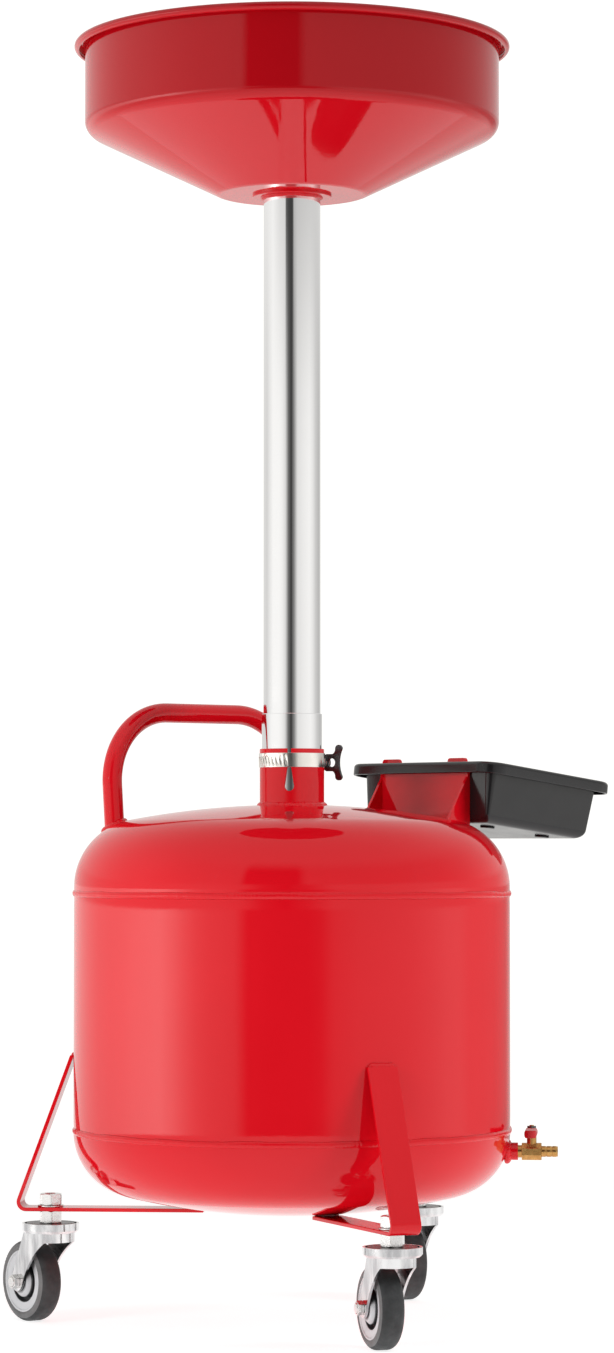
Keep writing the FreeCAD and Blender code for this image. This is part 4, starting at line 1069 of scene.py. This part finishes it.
def build_casters():
    nuts, lowers, washers, plates, stems = [], [], [], [], []
    foot = bottom("leg_left")
    for side in SIDES:
        stem = joint_place("caster_swivel_" + side)
        axle = joint_place("wheel_spin_" + side)
        trail = heading(flat(axle - stem))
        place = upright(stem, trail)
        on_side = Matrix.Rotation(-math.pi / 2, 4, "X")
        wheel = Matrix.Translation(axle) @ Matrix.Rotation(trail, 4, "Z") @ on_side @ SCALE
        build_wheel(side, wheel)
        nut_low, nut_top = bottom("stem_upper_nuts"), top("stem_upper_nuts")
        nuts.append(hex_nut("upper_nut", NUT_FLATS, nut_low, nut_top, STEM_R, place))
        lowers.append(hex_nut("lower_nut", NUT_FLATS, bottom("stem_lower_nuts"), foot, STEM_R, place))
        ring = rounded([(STEM_R, bottom("stem_washers"), 0.2), (10.5, bottom("stem_washers"), 0.4),
                        (10.5, top("stem_washers"), 0.4), (STEM_R, top("stem_washers"), 0.2)], steps=3)
        washers.append(lathe("washer", ring, place, 96, sharp=60))
        plate_low, plate_top = bottom("caster_top_plates"), top("caster_top_plates")
        disc = rounded([(STEM_R, plate_low), (PLATE_R, plate_low, 0.6), (PLATE_R, plate_top, 0.8),
                        (STEM_R, plate_top)], steps=4)
        plates.append(lathe("plate", disc, place, 128, sharp=50))
        stem_low, stem_top = bottom("caster_stems"), top("caster_stems")
        shaft = [(0, stem_low), (7, stem_low, 1.0), (9, stem_low + 2.0, 1.0), (9, stem_low + 2.95, 0.2),
                 (STEM_R, stem_low + 2.95)]
        z = nut_low
        shaft.append((STEM_R, z))
        while z + THREAD_PITCH < stem_top - 1:
            shaft += [(4.35, z + THREAD_PITCH / 2), (STEM_R, z + THREAD_PITCH)]
            z += THREAD_PITCH
        shaft += [(4.2, stem_top - 0.2, 0.4), (3.6, stem_top), (0, stem_top)]
        stems.append(lathe("stem", rounded(shaft, steps=3), place, 64, sharp=35))
        turned_back = wheel @ Matrix.Rotation(math.pi, 4, "X")
        hexa = hex_nut("axle_head", AXLE_FLATS, AXLE_HEAD_OUT, AXLE_HEAD_OUT + 3.0, 0.01, turned_back,
                       chamfer_bottom=False)
        shank_profile = rounded([(0, -AXLE_HEAD_OUT), (AXLE_R, -AXLE_HEAD_OUT), (AXLE_R, 20.2, 0.7), (0, 20.5)])
        shank = lathe("axle_shank", shank_profile, wheel, 64, sharp=40)
        dress(joined("axle_bolt_turned_" + side, [hexa, shank]), "axle_bolt_" + side)
        nut = hex_nut("axle_nut_cut_" + side, AXLE_FLATS, AXLE_HEAD_OUT, AXLE_HEAD_OUT + 5.0, AXLE_R, wheel)
        dress(nut, "axle_nut_" + side)
        softened("fork_" + side, 0.7, material="fork_chrome")
    dress(joined("stem_upper_nuts_cut", nuts), "stem_upper_nuts")
    dress(joined("stem_lower_nuts_cut", lowers), "stem_lower_nuts")
    dress(joined("stem_washers_stamped", washers), "stem_washers")
    dress(joined("caster_top_plates_pressed", plates), "caster_top_plates")
    dress(joined("caster_stems_turned", stems), "caster_stems")


# Legs, drain valve and hose clamp

BARB_BORE_R = 2.6
BARB_R = 4.4
BARB_STEP = 4.3
BAND_SLOTS = (176.0, 264.0, 8.0)     # first, last and step, in degrees
BAND_THICK = 0.7


def build_legs():
    for side in SIDES:
        softened("leg_" + side, 0.8)


def build_valve():
    softened("drain_boss", 0.4)
    softened("valve_body", 0.5)
    softened("packing_nut", 0.25)
    softened("valve_lever", 0.35)
    softened("lever_grip", 1.2, segments=4)
    softened("lever_nut", 0.25)
    out = (low("hose_barb").x - AXIS.x) / MM
    face = (high("valve_body").x - AXIS.x) / MM
    start = Matrix.Translation((AXIS.x, AXIS.y, middle("hose_barb").z))
    along = start @ Matrix.Rotation(math.pi / 2, 4, "Y") @ SCALE
    corners = [(BARB_BORE_R, out), (4.7, out), (4.7, face), (3.6, face), (3.6, face + 0.05)]
    z = face + 0.05
    for _ in range(3):
        corners += [(BARB_R, z, 0.15), (BARB_R, z + 2.6, 0.3), (4.0, z + 4.25, 0.15), (4.0, z + BARB_STEP)]
        z += BARB_STEP
    corners += [(2.9, z, 0.2), (BARB_BORE_R, z)]
    dress(lathe("hose_barb_turned", rounded(corners, steps=3), along, 96, sharp=30), "hose_barb")


def build_clamp():
    low_z, high_z = bottom("clamp_band"), top("clamp_band")
    r = COLLAR_R + BAND_THICK
    profile = rounded([(COLLAR_R, low_z), (r, low_z, 0.25), (r, high_z, 0.25), (COLLAR_R, high_z)], steps=3)
    band = lathe("clamp_band_rolled", profile, TANK, sharp=50)
    slots = []
    first, last, step = BAND_SLOTS
    for i in range(int((last - first) / step) + 1):
        turn = Matrix.Rotation(math.radians(first + i * step), 4, "Z")
        lean = Matrix.Rotation(math.radians(20), 4, "X")
        place = TANK @ turn @ Matrix.Translation((0, 0, (low_z + high_z) / 2)) @ lean
        slots.append(box_piece("slot", (r - 0.55, r + 1), (-0.75, 0.75), (-3.1, 3.1), place))
    cut(band, slots)
    smooth(band, 40)
    dress(band, "clamp_band")
    softened("clamp_housing", 0.8)
    softened("wing_key", 0.9, segments=4)


# Everything that keeps its CAD mesh gets its material

def finish_kept_nodes():
    for name, node in frame["nodes"].items():
        if node.hide_render:
            continue
        node.data.materials.clear()
        node.data.materials.append(MATERIALS[SLOT_OF[name]])


bpy.context.scene.view_settings.view_transform = "Standard"
add_camera()
studio_world()
add_floor()
add_soft_light("tank_light_left", -132, distance=1.3, height=0.7, aim_height=0.27, power=0.85)
add_soft_light("tank_light_right", -15, distance=1.3, height=0.7, aim_height=0.27, power=0.9)
add_soft_light("bowl_light", -150, distance=0.95, height=0.05, aim_height=0.97, power=0.3)
build_tank()
build_neck()
build_mast()
build_bowl()
build_welds()
build_handle()
build_tray()
build_casters()
build_legs()
build_valve()
build_clamp()
finish_kept_nodes()
